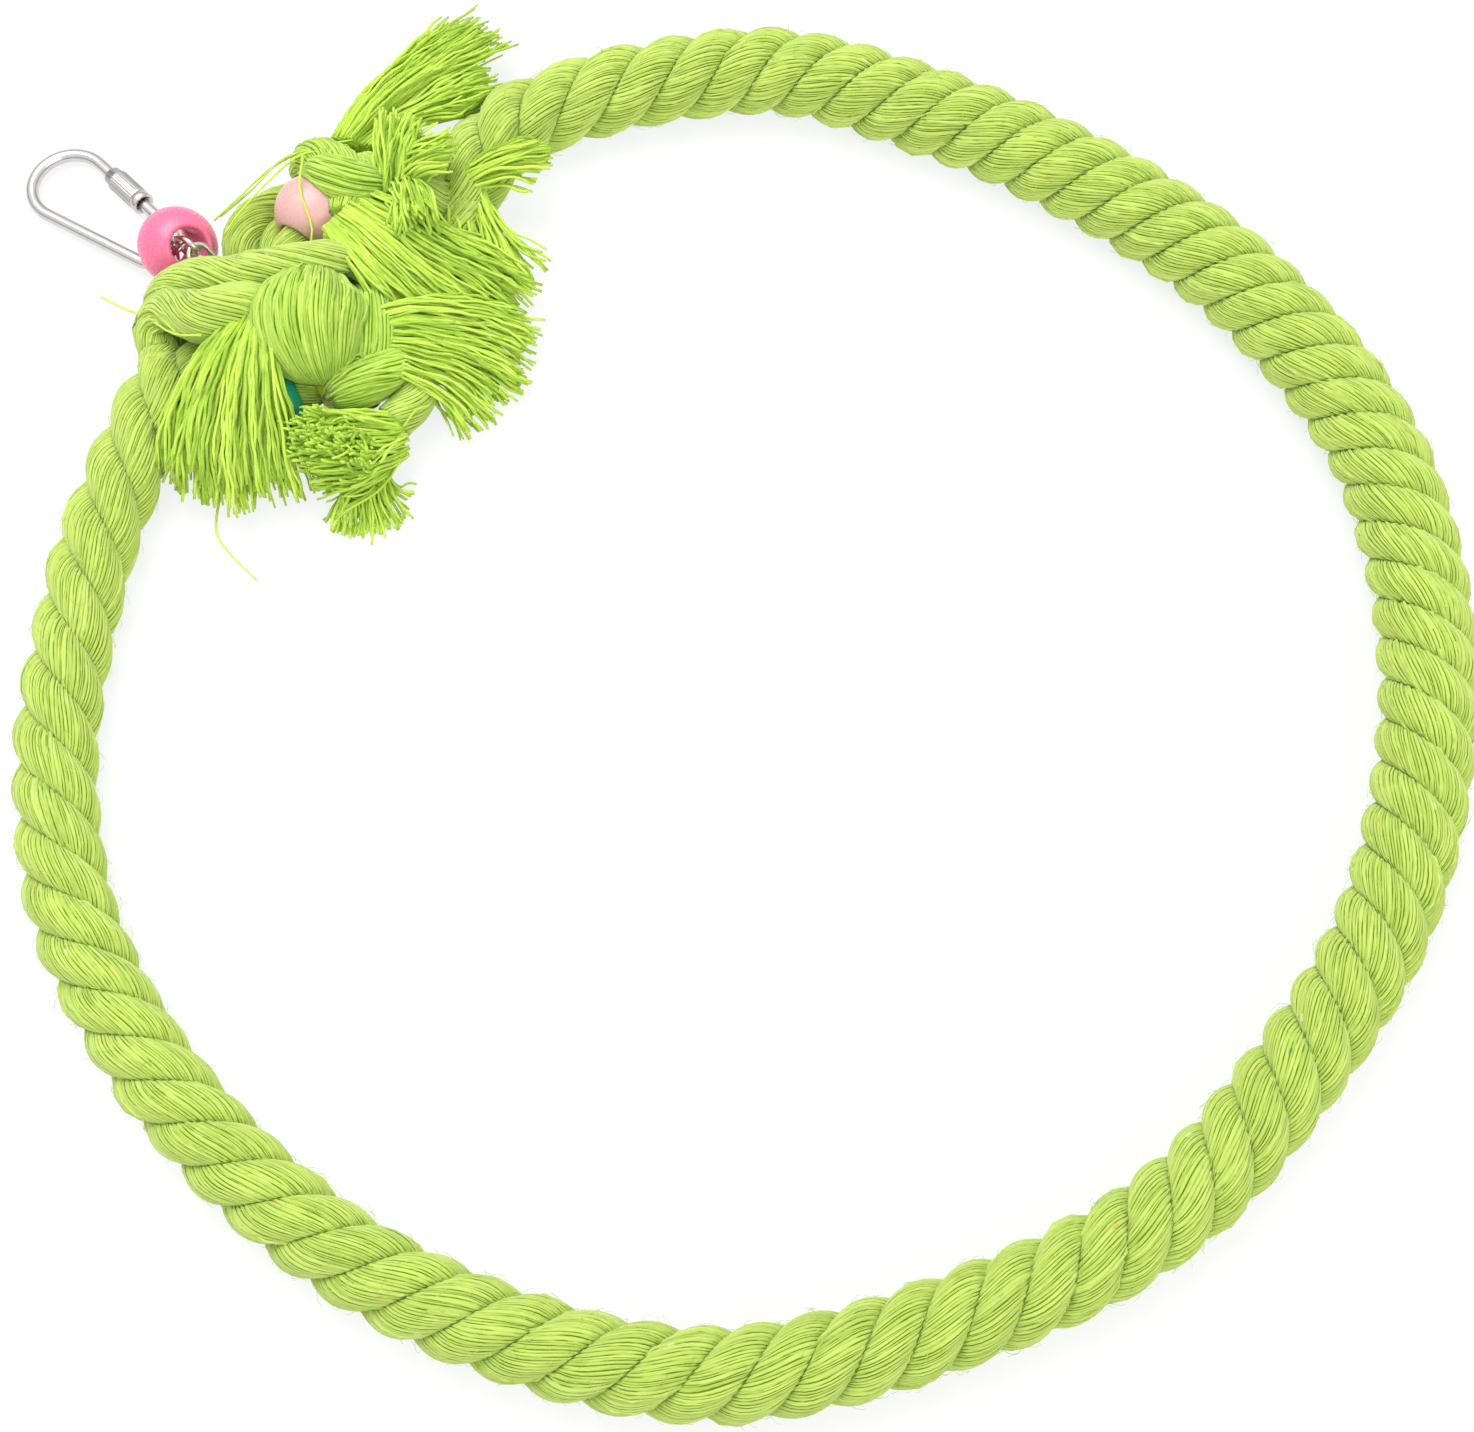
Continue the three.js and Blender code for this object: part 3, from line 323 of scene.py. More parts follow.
def smooth_curve(points, steps=24):
    """A curve through the points, with evenly many steps between each two; further columns follow along."""
    points = np.asarray(points, float)
    ends = np.vstack([2 * points[0] - points[1], points, 2 * points[-1] - points[-2]])
    gaps = np.linalg.norm(np.diff(ends[:, :3], axis=0), axis=1) ** 0.5
    t = np.linspace(0, 1, steps, endpoint=False)[:, None]
    spans = []
    for i in range(len(points) - 1):
        p0, p1, p2, p3 = ends[i : i + 4]
        g0, g1, g2 = gaps[i : i + 3]
        m1 = ((p1 - p0) / g0 - (p2 - p0) / (g0 + g1) + (p2 - p1) / g1) * g1
        m2 = ((p2 - p1) / g1 - (p3 - p1) / (g1 + g2) + (p3 - p2) / g2) * g1
        spans.append(p1 + m1 * t + (3 * (p2 - p1) - 2 * m1 - m2) * t**2 + (2 * (p1 - p2) + m1 + m2) * t**3)
    return np.vstack([*spans, points[-1:]])


def distances(line):
    steps = np.linalg.norm(np.diff(line[:, :3], axis=0), axis=1)
    return np.concatenate([[0], np.cumsum(steps)])


def evenly(line, count):
    """The same line with points at equal distances."""
    reach = distances(line)
    return columns_at(np.linspace(0, reach[-1], count), reach, line)


def carried_frame(line, start):
    """Directions across and over a line, carried along it without twisting."""
    tangents = unit(np.gradient(line, axis=0))
    across = np.zeros_like(line)
    way = start
    for i, tangent in enumerate(tangents):
        way = squared(way, tangent)
        across[i] = way
    return across, np.cross(tangents, across)


def clear_of_beads(points, reach, gap=0.2):
    """Pushes soft points that would lie in a bead's wall out to its surface."""
    beads = bpy.context.scene.swing_beads
    limit = half(beads.diameter) + gap + reach
    for bead in BEADS:
        place, axis = joint_place(f"{bead}_bead_spin"), joint_axis(f"{bead}_bead_spin")
        away = points - place
        deep = np.linalg.norm(away, axis=-1)
        along = away @ axis
        beside = np.sqrt(np.maximum(deep**2 - along**2, 0))
        inside = (deep < limit) & (beside > half(beads.bore) - gap)
        scale = np.where(inside, limit / np.maximum(deep, 1e-6), 1.0)
        points = place + away * scale[..., None]
    return points


def on_floor(points, height=0.0):
    points[..., 2] = np.maximum(points[..., 2], height)
    return points


def new_object(name, bm, material, body, replaced=()):
    """Makes a finished piece of a bmesh, which rides on its body in place of the solids it stands for."""
    mesh = bpy.data.meshes.new(name)
    bm.to_mesh(mesh)
    bm.free()
    mesh.shade_smooth()
    mesh.materials.append(material)
    piece = bpy.data.objects.new(name, mesh)
    bpy.context.scene.collection.objects.link(piece)
    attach(piece, body)
    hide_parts(*replaced)
    return piece


def tubes_bmesh(tubes, along, yarn, closed=False):
    """Like tubes from one grid: tubes holds points by tube, station and place round it, in millimetres.

    The map "yarn" holds the distance along in millimetres and the yarn's number, with its share round it.
    """
    count, stations, places, _ = tubes.shape
    grid = bmesh.new()
    bmesh.ops.create_grid(grid, x_segments=stations - 1, y_segments=places - 1, size=0.5)
    one = bpy.data.meshes.new("one tube")
    grid.to_mesh(one)
    grid.free()
    flat = np.zeros(len(one.vertices) * 3)
    one.vertices.foreach_get("co", flat)
    flat = flat.reshape(-1, 3)
    station = np.rint((flat[:, 0] + 0.5) * (stations - 1)).astype(int)
    place = np.rint((flat[:, 1] + 0.5) * (places - 1)).astype(int)
    bm = bmesh.new()
    for _ in range(count):
        bm.from_mesh(one)
    bpy.data.meshes.remove(one)
    every = bpy.data.meshes.new("every tube")
    bm.to_mesh(every)
    bm.free()
    every.vertices.foreach_set("co", (tubes[:, station, place] * MM).ravel())
    layer = every.uv_layers.new(name="yarn")
    corner = np.zeros(len(every.loops), int)
    every.loops.foreach_get("vertex_index", corner)
    tube, corner = np.divmod(corner, len(station))
    spots = np.column_stack([along[tube, station[corner]], yarn[tube, place[corner]]])
    layer.uv.foreach_set("vector", spots.ravel())
    bm = bmesh.new()
    bm.from_mesh(every)
    bpy.data.meshes.remove(every)
    bmesh.ops.remove_doubles(bm, verts=bm.verts, dist=1e-7)
    if not closed:
        bmesh.ops.holes_fill(bm, edges=[e for e in bm.edges if e.is_boundary], sides=0)
    bmesh.ops.recalc_face_normals(bm, faces=bm.faces)
    return bm


def lay_tubes(name, tubes, along, yarn, material, nodes=()):
    """A piece of cotton tubes that rides on the ring."""
    return new_object(name, tubes_bmesh(tubes, along, yarn), material, "rope_ring", nodes)


def first_yarn(kind, piece=0):
    """The number of the first yarn in a piece."""
    start, step = YARN_NUMBERS[kind]
    return start + step * piece


def drifting(seeded, reach, spacing, spread, count):
    """Slow random changes along a strand, in as many columns as asked for."""
    knots = np.linspace(0, reach[-1], max(4, int(reach[-1] / spacing)))
    values = seeded.normal(0, spread, (len(knots), count))
    return columns_at(reach, knots, values)


def yarn_skin(reach, yarns, depth, seed):
    """Angles and heights round a strand: a row of round yarns of uneven width, which wander and bulge."""
    seeded = np.random.default_rng(seed)
    widths = seeded.uniform(0.6, 1.4, yarns)
    edges = np.concatenate([[0], np.cumsum(widths)]) * 2 * np.pi / np.sum(widths)
    wander = drifting(seeded, reach, *YARN_WANDER, yarns) * 2 * np.pi / yarns
    edges = edges + np.column_stack([wander, wander[:, 0]])
    sink = depth * (1 + drifting(seeded, reach, *YARN_SINK, yarns))
    bulge = drifting(seeded, reach, *YARN_BULGE, yarns)
    angles, heights = [], []
    for yarn in range(yarns):
        for place in np.arange(YARN_POINTS) / YARN_POINTS:
            back = math.sin(math.pi * place) ** 0.7
            angles.append(edges[:, yarn] * (1 - place) + edges[:, yarn + 1] * place)
            heights.append(1 - sink[:, yarn] * (1 - back) + bulge[:, yarn] * back)
    angles.append(angles[0] + 2 * np.pi)
    heights.append(heights[0])
    lumps = 1 + drifting(seeded, reach, *STRAND_LUMPS, 1)
    return np.column_stack(angles), np.column_stack(heights) * lumps


def ridged_tube(line, across, over, radius, turn, yarns, depth, seed):
    """A strand's skin of yarns that wind round it with the given turn at every station."""
    angle, height = yarn_skin(distances(line), yarns, depth, seed)
    angle = angle + turn[:, None]
    side = turned(angle, across[:, None], over[:, None])
    share = np.arange(angle.shape[1]) / YARN_POINTS
    return line[:, None] + (radius[:, None] * height)[..., None] * side, share


def raised_yarns(skin, line, seeded, count, window, yarn):
    """Middle lines of single yarns that lie a little askew on a skin and sink in at both ends."""
    stations, places = skin.shape[0], skin.shape[1] - 1
    share = np.linspace(0, 1, RAISED_POINTS)
    spots = seeded.integers(0, stations - window, count)[:, None] + np.rint(share * window).astype(int)
    slew = seeded.normal(0, 1.5 * YARN_POINTS, (count, 1)) * share
    slew = slew + YARN_POINTS * 0.5 * np.sin(6 * share + seeded.uniform(0, 2 * np.pi, (count, 1)))
    place = (seeded.uniform(0, places, (count, 1)) + slew) % places
    low = np.minimum(place.astype(int), places - 1)
    rest = (place - low)[..., None]
    points = skin[spots, low] * (1 - rest) + skin[spots, low + 1] * rest
    lift = yarn * (1.5 * np.sin(np.pi * share) ** 0.5 - 1.1)
    return points + lift[:, None] * unit(points - line[spots])


def yarn_tubes(lines, radius, sides=4):
    """Round yarns along many lines of equally many points each."""
    tangents = unit(np.gradient(lines, axis=1))
    across = squared(np.broadcast_to(np.array([0.36, 0.48, 0.8]), lines.shape), tangents)
    over = np.cross(tangents, across)
    angle = 2 * np.pi * np.arange(sides + 1) / sides
    side = turned(angle, across[:, :, None], over[:, :, None])
    taper = np.ones(lines.shape[1])
    taper[-1] = 0.85
    tubes = lines[:, :, None] + radius[:, None, None, None] * taper[:, None, None] * side
    steps = np.linalg.norm(np.diff(lines, axis=1), axis=2)
    along = np.concatenate([np.zeros((len(lines), 1)), np.cumsum(steps, axis=1)], axis=1)
    return tubes, along, np.arange(sides + 1) / (sides + 0.001)


def lay_raised_yarns(name, lines, material, yarn):
    """One piece of all the raised yarns of a kind, mapped to the middle of a yarn, clear of the shade painted
    at its edges.
    """
    lines = on_floor(clear_of_beads(lines, yarn), yarn)
    tubes, along, share = yarn_tubes(lines, np.full(len(lines), yarn))
    number = np.arange(len(lines))[:, None] + first_yarn("raised") + 0.3 + 0.4 * share
    lay_tubes(name, tubes, along, number, material)


def knot_points(rows):
    """Rows of a knot route, moved from the knot's middle to their place."""
    rows = np.asarray(rows, float)
    return np.column_stack([rows[:, :3] + KNOT, rows[:, 3:]])


class Rope:
    """The laid rope's middle line, thickness and twist at many places from the near end to the far one."""

    def __init__(self, count):
        rope = bpy.context.scene.swing_rope
        plan = [HOOP_CENTRE + around_circle(angle, HOOP_RADIUS + out) for angle, out in HOOP_ROUTE]
        plan += [KNOT + np.array([right, away, 0]) for right, away in ROPE_FAR_END]
        plan = evenly(smooth_curve(plan, 80), count)
        self.length = distances(plan)[-1]
        along = np.linspace(0, 1, count)
        tight = np.exp(-(((along - TIGHT_SPOT) / TIGHT_REACH) ** 2))
        self.radius = half(rope.loose_diameter + (rope.tight_diameter - rope.loose_diameter) * tight)
        opened = np.exp(-((along / OPEN_REACH) ** 2)) + np.exp(-(((1 - along) / OPEN_REACH) ** 2))
        ring_lay = LAY_MIDDLE + (LAY_TIGHT - LAY_MIDDLE) * tight
        self.lay = ring_lay + (LAY_LOOSE - ring_lay) * opened
        step = self.length / (count - 1)
        rate = 1 / self.lay
        self.turns = np.concatenate([[0], np.cumsum((rate[1:] + rate[:-1]) / 2 * step)])
        self.reach = along * self.length
        self.line = plan + UP * (self.radius - PRESSED_FLAT)[:, None]
        self.tangent = unit(np.gradient(plan, axis=0))
        self.inward = np.cross(UP, self.tangent)
        self.strand = self.strand_radius()

    def strand_radius(self):
        """Half a strand's thickness where the three of them fill the rope and press on each other."""
        radius = (self.radius - 1) / 2
        apart = 2 * np.pi / STRANDS
        turn = np.linspace(0.05, apart, 80)[:, None]
        for _ in range(16):
            helix = self.radius - radius
            rise = self.lay / (2 * np.pi)
            nearest = np.min(np.hypot(2 * helix * np.sin(turn / 2), rise * (turn - apart)), axis=0)
            radius = np.minimum(radius, (radius + nearest / 2) / 2)
        return radius * bpy.context.scene.swing_rope.fullness

    def at(self, reach, values):
        return columns_at(reach, self.reach, values)

    def strand_line(self, number):
        angle = -2 * np.pi * (self.turns + number / STRANDS)
        outward = turned(angle, self.inward, UP)
        line = self.line + outward * (self.radius - self.strand)[:, None]
        tangent = unit(np.gradient(line, axis=0))
        over = squared(outward, tangent)
        return line, over, np.cross(tangent, over)

    def outside(self, points, gap):
        """Lifts loose points that would lie in the rope out to its surface."""
        flat = points.reshape(-1, 3)
        stride = 4
        apart = np.linalg.norm(flat[:, None] - self.line[None, ::stride], axis=2)
        nearest = np.argmin(apart, axis=1) * stride
        middle = self.line[nearest]
        reach = np.linalg.norm(flat - middle, axis=1)
        inner = (nearest > 2 * stride) & (nearest < len(self.line) - 3 * stride)
        scale = np.where(inner, np.maximum(1, (self.radius[nearest] + gap) / np.maximum(reach, 1e-6)), 1)
        return (middle + (flat - middle) * scale[:, None]).reshape(points.shape)

    def pressed(self, points, number):
        """Flattens a strand where it meets its neighbours and the core wire."""
        shape = points.shape
        reach = np.repeat(self.reach, shape[1])
        points = points.reshape(-1, 3)
        for _ in range(3):
            offset = points - self.at(reach, self.line)
            reach = np.clip(reach + np.sum(offset * self.at(reach, self.tangent), axis=1), 0, self.length)
        middle = self.at(reach, self.line)
        tangent = unit(self.at(reach, self.tangent))
        inward = np.cross(UP, tangent)
        offset = points - middle
        along = np.sum(offset * tangent, axis=1)
        x = np.sum(offset * inward, axis=1)
        y = offset[:, 2]
        out = np.hypot(x, y)
        own = -2 * np.pi * (np.interp(reach, self.reach, self.turns) + number / STRANDS)
        turn = np.arctan2(y, x) - own
        turn = (turn + np.pi) % (2 * np.pi) - np.pi
        room = np.pi / STRANDS - PRESS_GAP / np.maximum(out, 1)
        turn = np.clip(turn, -room, room)
        out = np.maximum(out, CORE_GAP)
        ways = turned(turn + own, inward, UP)
        return (middle + along[:, None] * tangent + out[:, None] * ways).reshape(shape)


def length_property(name, description, millimetres):
    return bpy.props.FloatProperty(
        name=name, description=description, default=millimetres * MM, unit="LENGTH"
    )


def colour_property(name, description, code):
    return bpy.props.FloatVectorProperty(
        name=name, description=description, size=3, subtype="COLOR", default=linear(code)
    )


class SwingRopeSettings(bpy.types.PropertyGroup):
    """Cotton rope and yarn."""

    loose_diameter: length_property("Loose diameter", "Rope thickness where its twist is loose", 18.6)
    tight_diameter: length_property("Tight diameter", "Rope thickness where its twist is tight", 22.6)
    fullness: bpy.props.FloatProperty(
        name="Fullness", description="How far the strands swell against each other",
        default=1.2, subtype="FACTOR",
    )
    yarn_diameter: length_property("Yarn diameter", "Thickness of one cotton yarn", 0.8)
    fibres: bpy.props.IntProperty(
        name="Fibres", description="Raised cotton fibres on the ring", default=3000
    )
    fibre_diameter: length_property("Fibre diameter", "Thickness of a raised fibre", 0.09)
    cotton: colour_property("Cotton", "Dyed colour of the rope", "#cae26d")
    # The cotton shade colour also serves as painted shade, mixed in where yarns meet, besides deepening some
    # yarns
    cotton_shade: colour_property("Cotton shade", "Deeper dye between the yarns", "#638a00")
    frayed: colour_property("Frayed yarn", "Dyed colour of the tassels", "#d7f465")
    # The frayed shade colour also serves as painted shade between the yarns of the wraps and tassels, besides
    # deepening some yarns
    frayed_shade: colour_property("Frayed shade", "Deeper dye in the tassels", "#6aa000")


class SwingBeadSettings(bpy.types.PropertyGroup):
    """Plastic beads."""

    diameter: length_property("Diameter", "Outside of every bead", 19)
    length: length_property("Length", "Between the flat ends of every bead", 15.4)
    bore: length_property("Bore", "Hole through every bead", 9)
    rim: length_property("Rim", "Rounding where the hole meets the outside", 0.8)
    pink: colour_property("Hot pink", "Bead on the chain", "#ff7ca4")
    pale: colour_property("Pale pink", "Bead at the top of the knot", "#edb8b4")
    green: colour_property("Green", "Bead at the foot of the knot", "#22a67e")
    yellow: colour_property("Yellow", "Bead under the wrap", "#dcc61e")


class SwingHardwareSettings(bpy.types.PropertyGroup):
    """Chain and hook."""

    chain_wire: length_property("Chain wire", "Wire thickness of a link", 1.3)
    link_width: length_property("Link width", "Outside width of a link", 6.5)
    hook_wire: length_property("Hook wire", "Wire thickness of the hook", 3.1)
    wide_radius: length_property("Wide end", "Radius of the hook's wide end", 9.6)
    narrow_radius: length_property("Narrow end", "Radius of the hook's narrow end", 5.8)
    centres: length_property("Centres", "Between the centres of the hook's ends", 29)
    steel: colour_property("Plated steel", "Colour of the plating", "#dcd7d4")
    core: colour_property("Core wire", "Colour of the wire in the rope", "#9a9a98")


class SwingStageSettings(bpy.types.PropertyGroup):
    """Floor, light and camera."""

    elevation: bpy.props.FloatProperty(
        name="Elevation", description="Height angle of the camera", default=math.radians(70), subtype="ANGLE"
    )
    distance: length_property("Distance", "From the camera to the point it looks at", 424)
    paper: colour_property("Paper", "Colour of the floor", "#ffffff")


def fill_sockets(tree, node, links):
    """Fills a node's sockets, each with a value, an output or another node's first live output."""
    for socket, value in links.items():
        if isinstance(value, bpy.types.Node):
            value = next(output for output in value.outputs if output.enabled)
        if isinstance(value, bpy.types.NodeSocket):
            tree.links.new(value, node.inputs[socket])
        else:
            node.inputs[socket].default_value = value


def add_node(tree, kind, links=None, **settings):
    """Adds a shader node with its settings and links."""
    node = tree.nodes.new(f"ShaderNode{kind}")
    for name, value in settings.items():
        setattr(node, name, value)
    fill_sockets(tree, node, links or {})
    return node


def new_material(name):
    material = bpy.data.materials.new(name)
    material.use_nodes = True
    tree = material.node_tree
    return material, tree, tree.nodes["Principled BSDF"]


def rgba(colour, shade=1.0):
    return (*(channel * shade for channel in colour), 1.0)


def dyed_cotton(name, light, shade, gap_shade, depth, uneven, fuzz):
    """Spun cotton yarn, dyed in the hank: a matte, slightly fuzzy thread.

    Each yarn takes the dye a little differently and its fibres lie slanted in it. Shade that falls between
    packed yarns is painted in as a darker colour, and odd specks are spun in.
    """
    material, tree, shader = new_material(name)
    node = partial(add_node, tree)
    part = node("SeparateXYZ", {"Vector": node("UVMap", uv_map="yarn")}).outputs
    number = node("Math", {0: part["Y"]}, operation="FLOOR")
    share = node("Math", {0: part["Y"]}, operation="FRACT")

    def scaled(along, length, across, count):
        """A place on the yarn's map, for marks of a length in millimetres and of so many in its width."""
        x = node("Math", {0: along, 1: 1 / length}, operation="MULTIPLY")
        y = node("Math", {0: across, 1: count}, operation="MULTIPLY")
        return node("CombineXYZ", {"X": x, "Y": y})

    tint = node("TexWhiteNoise", {"W": number}, noise_dimensions="1D")
    # Slubs: thick and thin places about 7 mm long in each yarn
    slub = node("TexNoise", {"Vector": scaled(part["X"], 7, number, 3.7), "Scale": 1.0, "Detail": 1.0})
    # Fibres: about a sixth of a yarn wide and 2 mm long, slanted by the yarn's own twist
    slant = node("Math", {0: share, 1: 0.9, 2: part["X"]}, operation="MULTIPLY_ADD")
    fibre = node("TexNoise", {"Vector": scaled(slant, 2, part["Y"], 6), "Scale": 1.0, "Detail": 2.0})
    # Uneven dye in patches about 30 mm across
    spot = node("TexCoord").outputs["Object"]
    patch = node("TexNoise", {"Vector": spot, "Scale": 33.0, "Detail": 1.0})
    # Painted shade: a darker colour in the outer fifths of a yarn, where it meets the next one and shade
    # falls between them
    painted_valley_shade = node("Math", {0: share, 1: 0.5}, operation="SUBTRACT")
    painted_valley_shade = node("Math", {0: painted_valley_shade}, operation="ABSOLUTE")
    painted_valley_shade = node("MapRange", {"Value": painted_valley_shade, "From Min": 0.3, "From Max": 0.5, "To Max": gap_shade})
    # The painted shade between yarns is weaker or stronger in places about 3 mm long, where lint bridges the
    # gaps
    gap = node("Math", {0: part["Y"], 1: 0.5}, operation="ADD")
    gap = node("Math", {0: gap}, operation="FLOOR")
    gap_shade_strength = node("TexNoise", {"Vector": scaled(part["X"], 3, gap, 5.3), "Scale": 1.0, "Detail": 1.0})
    gap_shade_strength = node(
        "MapRange", {"Value": gap_shade_strength, "From Min": 0.35, "From Max": 0.65, "To Min": 0.2, "To Max": 1.5}
    )
    mix = node("Math", {0: painted_valley_shade, 1: gap_shade_strength, 2: depth}, operation="MULTIPLY_ADD")
    for source, weight in ((tint, uneven), (slub, 0.6), (fibre, 0.7), (patch, 0.12)):
        low = node("Math", {0: source, 1: 0.5}, operation="SUBTRACT")
        mix = node("Math", {0: low, 1: weight, 2: mix}, operation="MULTIPLY_ADD")
    dye = node("Mix", {"Factor": mix, "A": rgba(light), "B": rgba(shade)}, data_type="RGBA")
    # Specks of other dyed lint, about a millimetre long, a few in each ten square centimetres
    place = scaled(part["X"], 4, part["Y"], 1 / 2)
    speck = node("TexVoronoi", {"Vector": place, "Scale": 1.0}, voronoi_dimensions="2D").outputs
    pick = node("SeparateColor", {"Color": speck["Color"]}).outputs
    near = node("Math", {0: speck["Distance"], 1: 0.14}, operation="LESS_THAN")
    rare = node("Math", {0: pick["Red"], 1: 0.965}, operation="GREATER_THAN")
    shown = node("Math", {0: near, 1: rare}, operation="MULTIPLY")
    shown = node("Math", {0: shown, 1: 0.45}, operation="MULTIPLY")
    lint = node("ValToRGB", {"Fac": pick["Green"]})
    ramp = lint.color_ramp
    ramp.interpolation = "CONSTANT"
    for start, code in ((0.0, "#f2c64a"), (0.4, "#fdf6d8"), (0.65, "#e58a3c"), (0.85, "#2f9c78")):
        stop = ramp.elements[0] if start == 0.0 else ramp.elements.new(start)
        stop.color = rgba(linear(code))
    ramp.elements.remove(ramp.elements[-1])
    fill_sockets(tree, shader, {
        "Base Color": node("Mix", {"Factor": shown, "A": dye, "B": lint}, data_type="RGBA"),
        "Normal": node("Bump", {"Height": fibre, "Strength": 0.35, "Distance": 0.0002}),
        "Roughness": 0.92,
        "Specular IOR Level": 0.2,
        "Sheen Weight": fuzz,
        "Sheen Roughness": 0.5,
    })
    return material


def moulded_plastic(name, colour):
    """Polished moulded plastic: glossy, a little see-through to light, with faint handling marks."""
    material, tree, shader = new_material(name)
    node = partial(add_node, tree)
    spot = node("TexCoord").outputs["Object"]
    # Cloudiness in the resin, about 8 mm across
    cloud = node("TexNoise", {"Vector": spot, "Scale": 125.0, "Detail": 2.0})
    tone = node("Mix", {"Factor": cloud, "A": rgba(colour), "B": rgba(colour, 0.9)}, data_type="RGBA")
    # Fine rubbing marks, about half a millimetre
    mark = node("TexNoise", {"Vector": spot, "Scale": 2000.0, "Detail": 3.0})
    gloss = node(
        "MapRange", {"Value": mark, "From Min": 0.3, "From Max": 0.7, "To Min": 0.24, "To Max": 0.3}
    )
    fill_sockets(tree, shader, {
        "Base Color": tone,
        "Roughness": gloss,
        "IOR": 1.49,
        "Subsurface Weight": 0.35,
        "Subsurface Radius": (0.006, 0.002, 0.002),
        "Subsurface Scale": 1.0,
    })
    return material


def nickel_plate(name, colour):
    """Bright nickel plate on drawn steel wire: mirror-like, slightly warm, with a soft haze."""
    material, tree, shader = new_material(name)
    node = partial(add_node, tree)
    # Haze in patches about 3 mm across
    spot = node("TexCoord").outputs["Object"]
    haze = node("TexNoise", {"Vector": spot, "Scale": 300.0, "Detail": 3.0})
    tone = node("Mix", {"Factor": haze, "A": rgba(colour), "B": rgba(colour, 0.88)}, data_type="RGBA")
    gloss = node(
        "MapRange", {"Value": haze, "From Min": 0.3, "From Max": 0.7, "To Min": 0.14, "To Max": 0.26}
    )
    fill_sockets(tree, shader, {"Base Color": tone, "Roughness": gloss, "Metallic": 1.0})
    return material


def drawn_wire(name, colour):
    """Plain drawn steel wire: grey and dull, marked by the die."""
    material, tree, shader = new_material(name)
    node = partial(add_node, tree)
    # Die marks about a millimetre across
    spot = node("TexCoord").outputs["Object"]
    mark = node("TexNoise", {"Vector": spot, "Scale": 800.0, "Detail": 2.0})
    tone = node("Mix", {"Factor": mark, "A": rgba(colour), "B": rgba(colour, 0.7)}, data_type="RGBA")
    fill_sockets(tree, shader, {"Base Color": tone, "Metallic": 1.0, "Roughness": 0.45})
    return material


def white_paper(name, colour):
    """Smooth white paper: seen near white, with the swing's own soft shadow on it."""
    material, tree, shader = new_material(name)
    node = partial(add_node, tree)
    fill_sockets(tree, shader, {"Base Color": rgba(colour), "Roughness": 1.0, "Specular IOR Level": 0.0})
    glow = node("Emission", {"Color": rgba(colour), "Strength": 1.0})
    path = node("LightPath").outputs
    seen = node("Math", {0: path["Is Camera Ray"], 1: path["Is Glossy Ray"]}, operation="MAXIMUM")
    seen = node("Math", {0: seen, 1: path["Is Transmission Ray"]}, operation="MAXIMUM")
    share = node("Math", {0: seen, 1: 0.8}, operation="MULTIPLY")
    both = node("MixShader", {0: share, 1: shader, 2: glow})
    fill_sockets(tree, tree.nodes["Material Output"], {"Surface": both})
    return material


def cotton_materials():
    """The cotton of the rope, of the wraps and of the frayed yarns."""
    rope = bpy.context.scene.swing_rope
    names = ("dyed cotton rope", "dyed cotton wrap", "dyed loose cotton")
    if names[0] not in bpy.data.materials:
        wrap = tuple((a + b) / 2 for a, b in zip(rope.cotton, rope.frayed))
        # The first number of each sets how strongly shade is painted between packed yarns
        dyed_cotton(names[0], rope.cotton, rope.cotton_shade, gap_shade=1.25, depth=0.12, uneven=0.25, fuzz=0.35)
        dyed_cotton(names[1], wrap, rope.frayed_shade, gap_shade=1.7, depth=0.3, uneven=0.4, fuzz=0.25)
        dyed_cotton(names[2], rope.frayed, rope.frayed_shade, gap_shade=0.12, depth=0.18, uneven=0.6, fuzz=0.1)
    return [bpy.data.materials[kind] for kind in names]


def plated_steel():
    name = "bright nickel plate"
    return bpy.data.materials.get(name) or nickel_plate(name, bpy.context.scene.swing_hardware.steel)


def tail_rows(rope, number, near, rows):
    """A tail's route: it grows out of the end of its strand and follows its rows."""
    line = rope.strand_line(number)[0]
    end, inner = (0, 1) if near else (-1, -2)
    place, radius = line[end], rope.strand[end]
    way = unit(place - line[inner])
    back = np.append(place - TAIL_ROOT * way, radius * ROOT_SHARE)
    lead = np.append(place + TAIL_LEAD * way, radius * LEAD_SHARE)
    return np.vstack([back, lead, knot_points(rows)])


def threaded_rows(first, last, axis):
    """The straight run of a tail through its bead or beads."""
    reach = half(bpy.context.scene.swing_beads.diameter)
    start, end = first - axis * reach, last + axis * reach
    return np.array([[*p, THREADED_RADIUS] for p in (start, (start + end) / 2, end)])


def yarns_round(rows):
    """How many yarns lie side by side round the thickest place of a route."""
    return round(2 * np.pi * np.max(rows[:, 3]) / YARN_SPACING)


def soft_tube(rows, yarns, twist, seed, swell, depth):
    """A knot strand with its yarns, laid on its route and pushed clear of the beads and the floor."""
    route = smooth_curve(rows, 30)
    route = evenly(route, max(48, int(distances(route)[-1] / KNOT_SPACING)))
    line, radius = route[:, :3], np.maximum(route[:, 3], 0.4) * swell
    across, over = carried_frame(line, np.array([0.31, 0.42, 0.85]))
    reach = distances(line)
    points, share = ridged_tube(line, across, over, radius, 2 * np.pi * reach / twist, yarns, depth, seed)
    return on_floor(clear_of_beads(points, 0.0)), line, reach, share


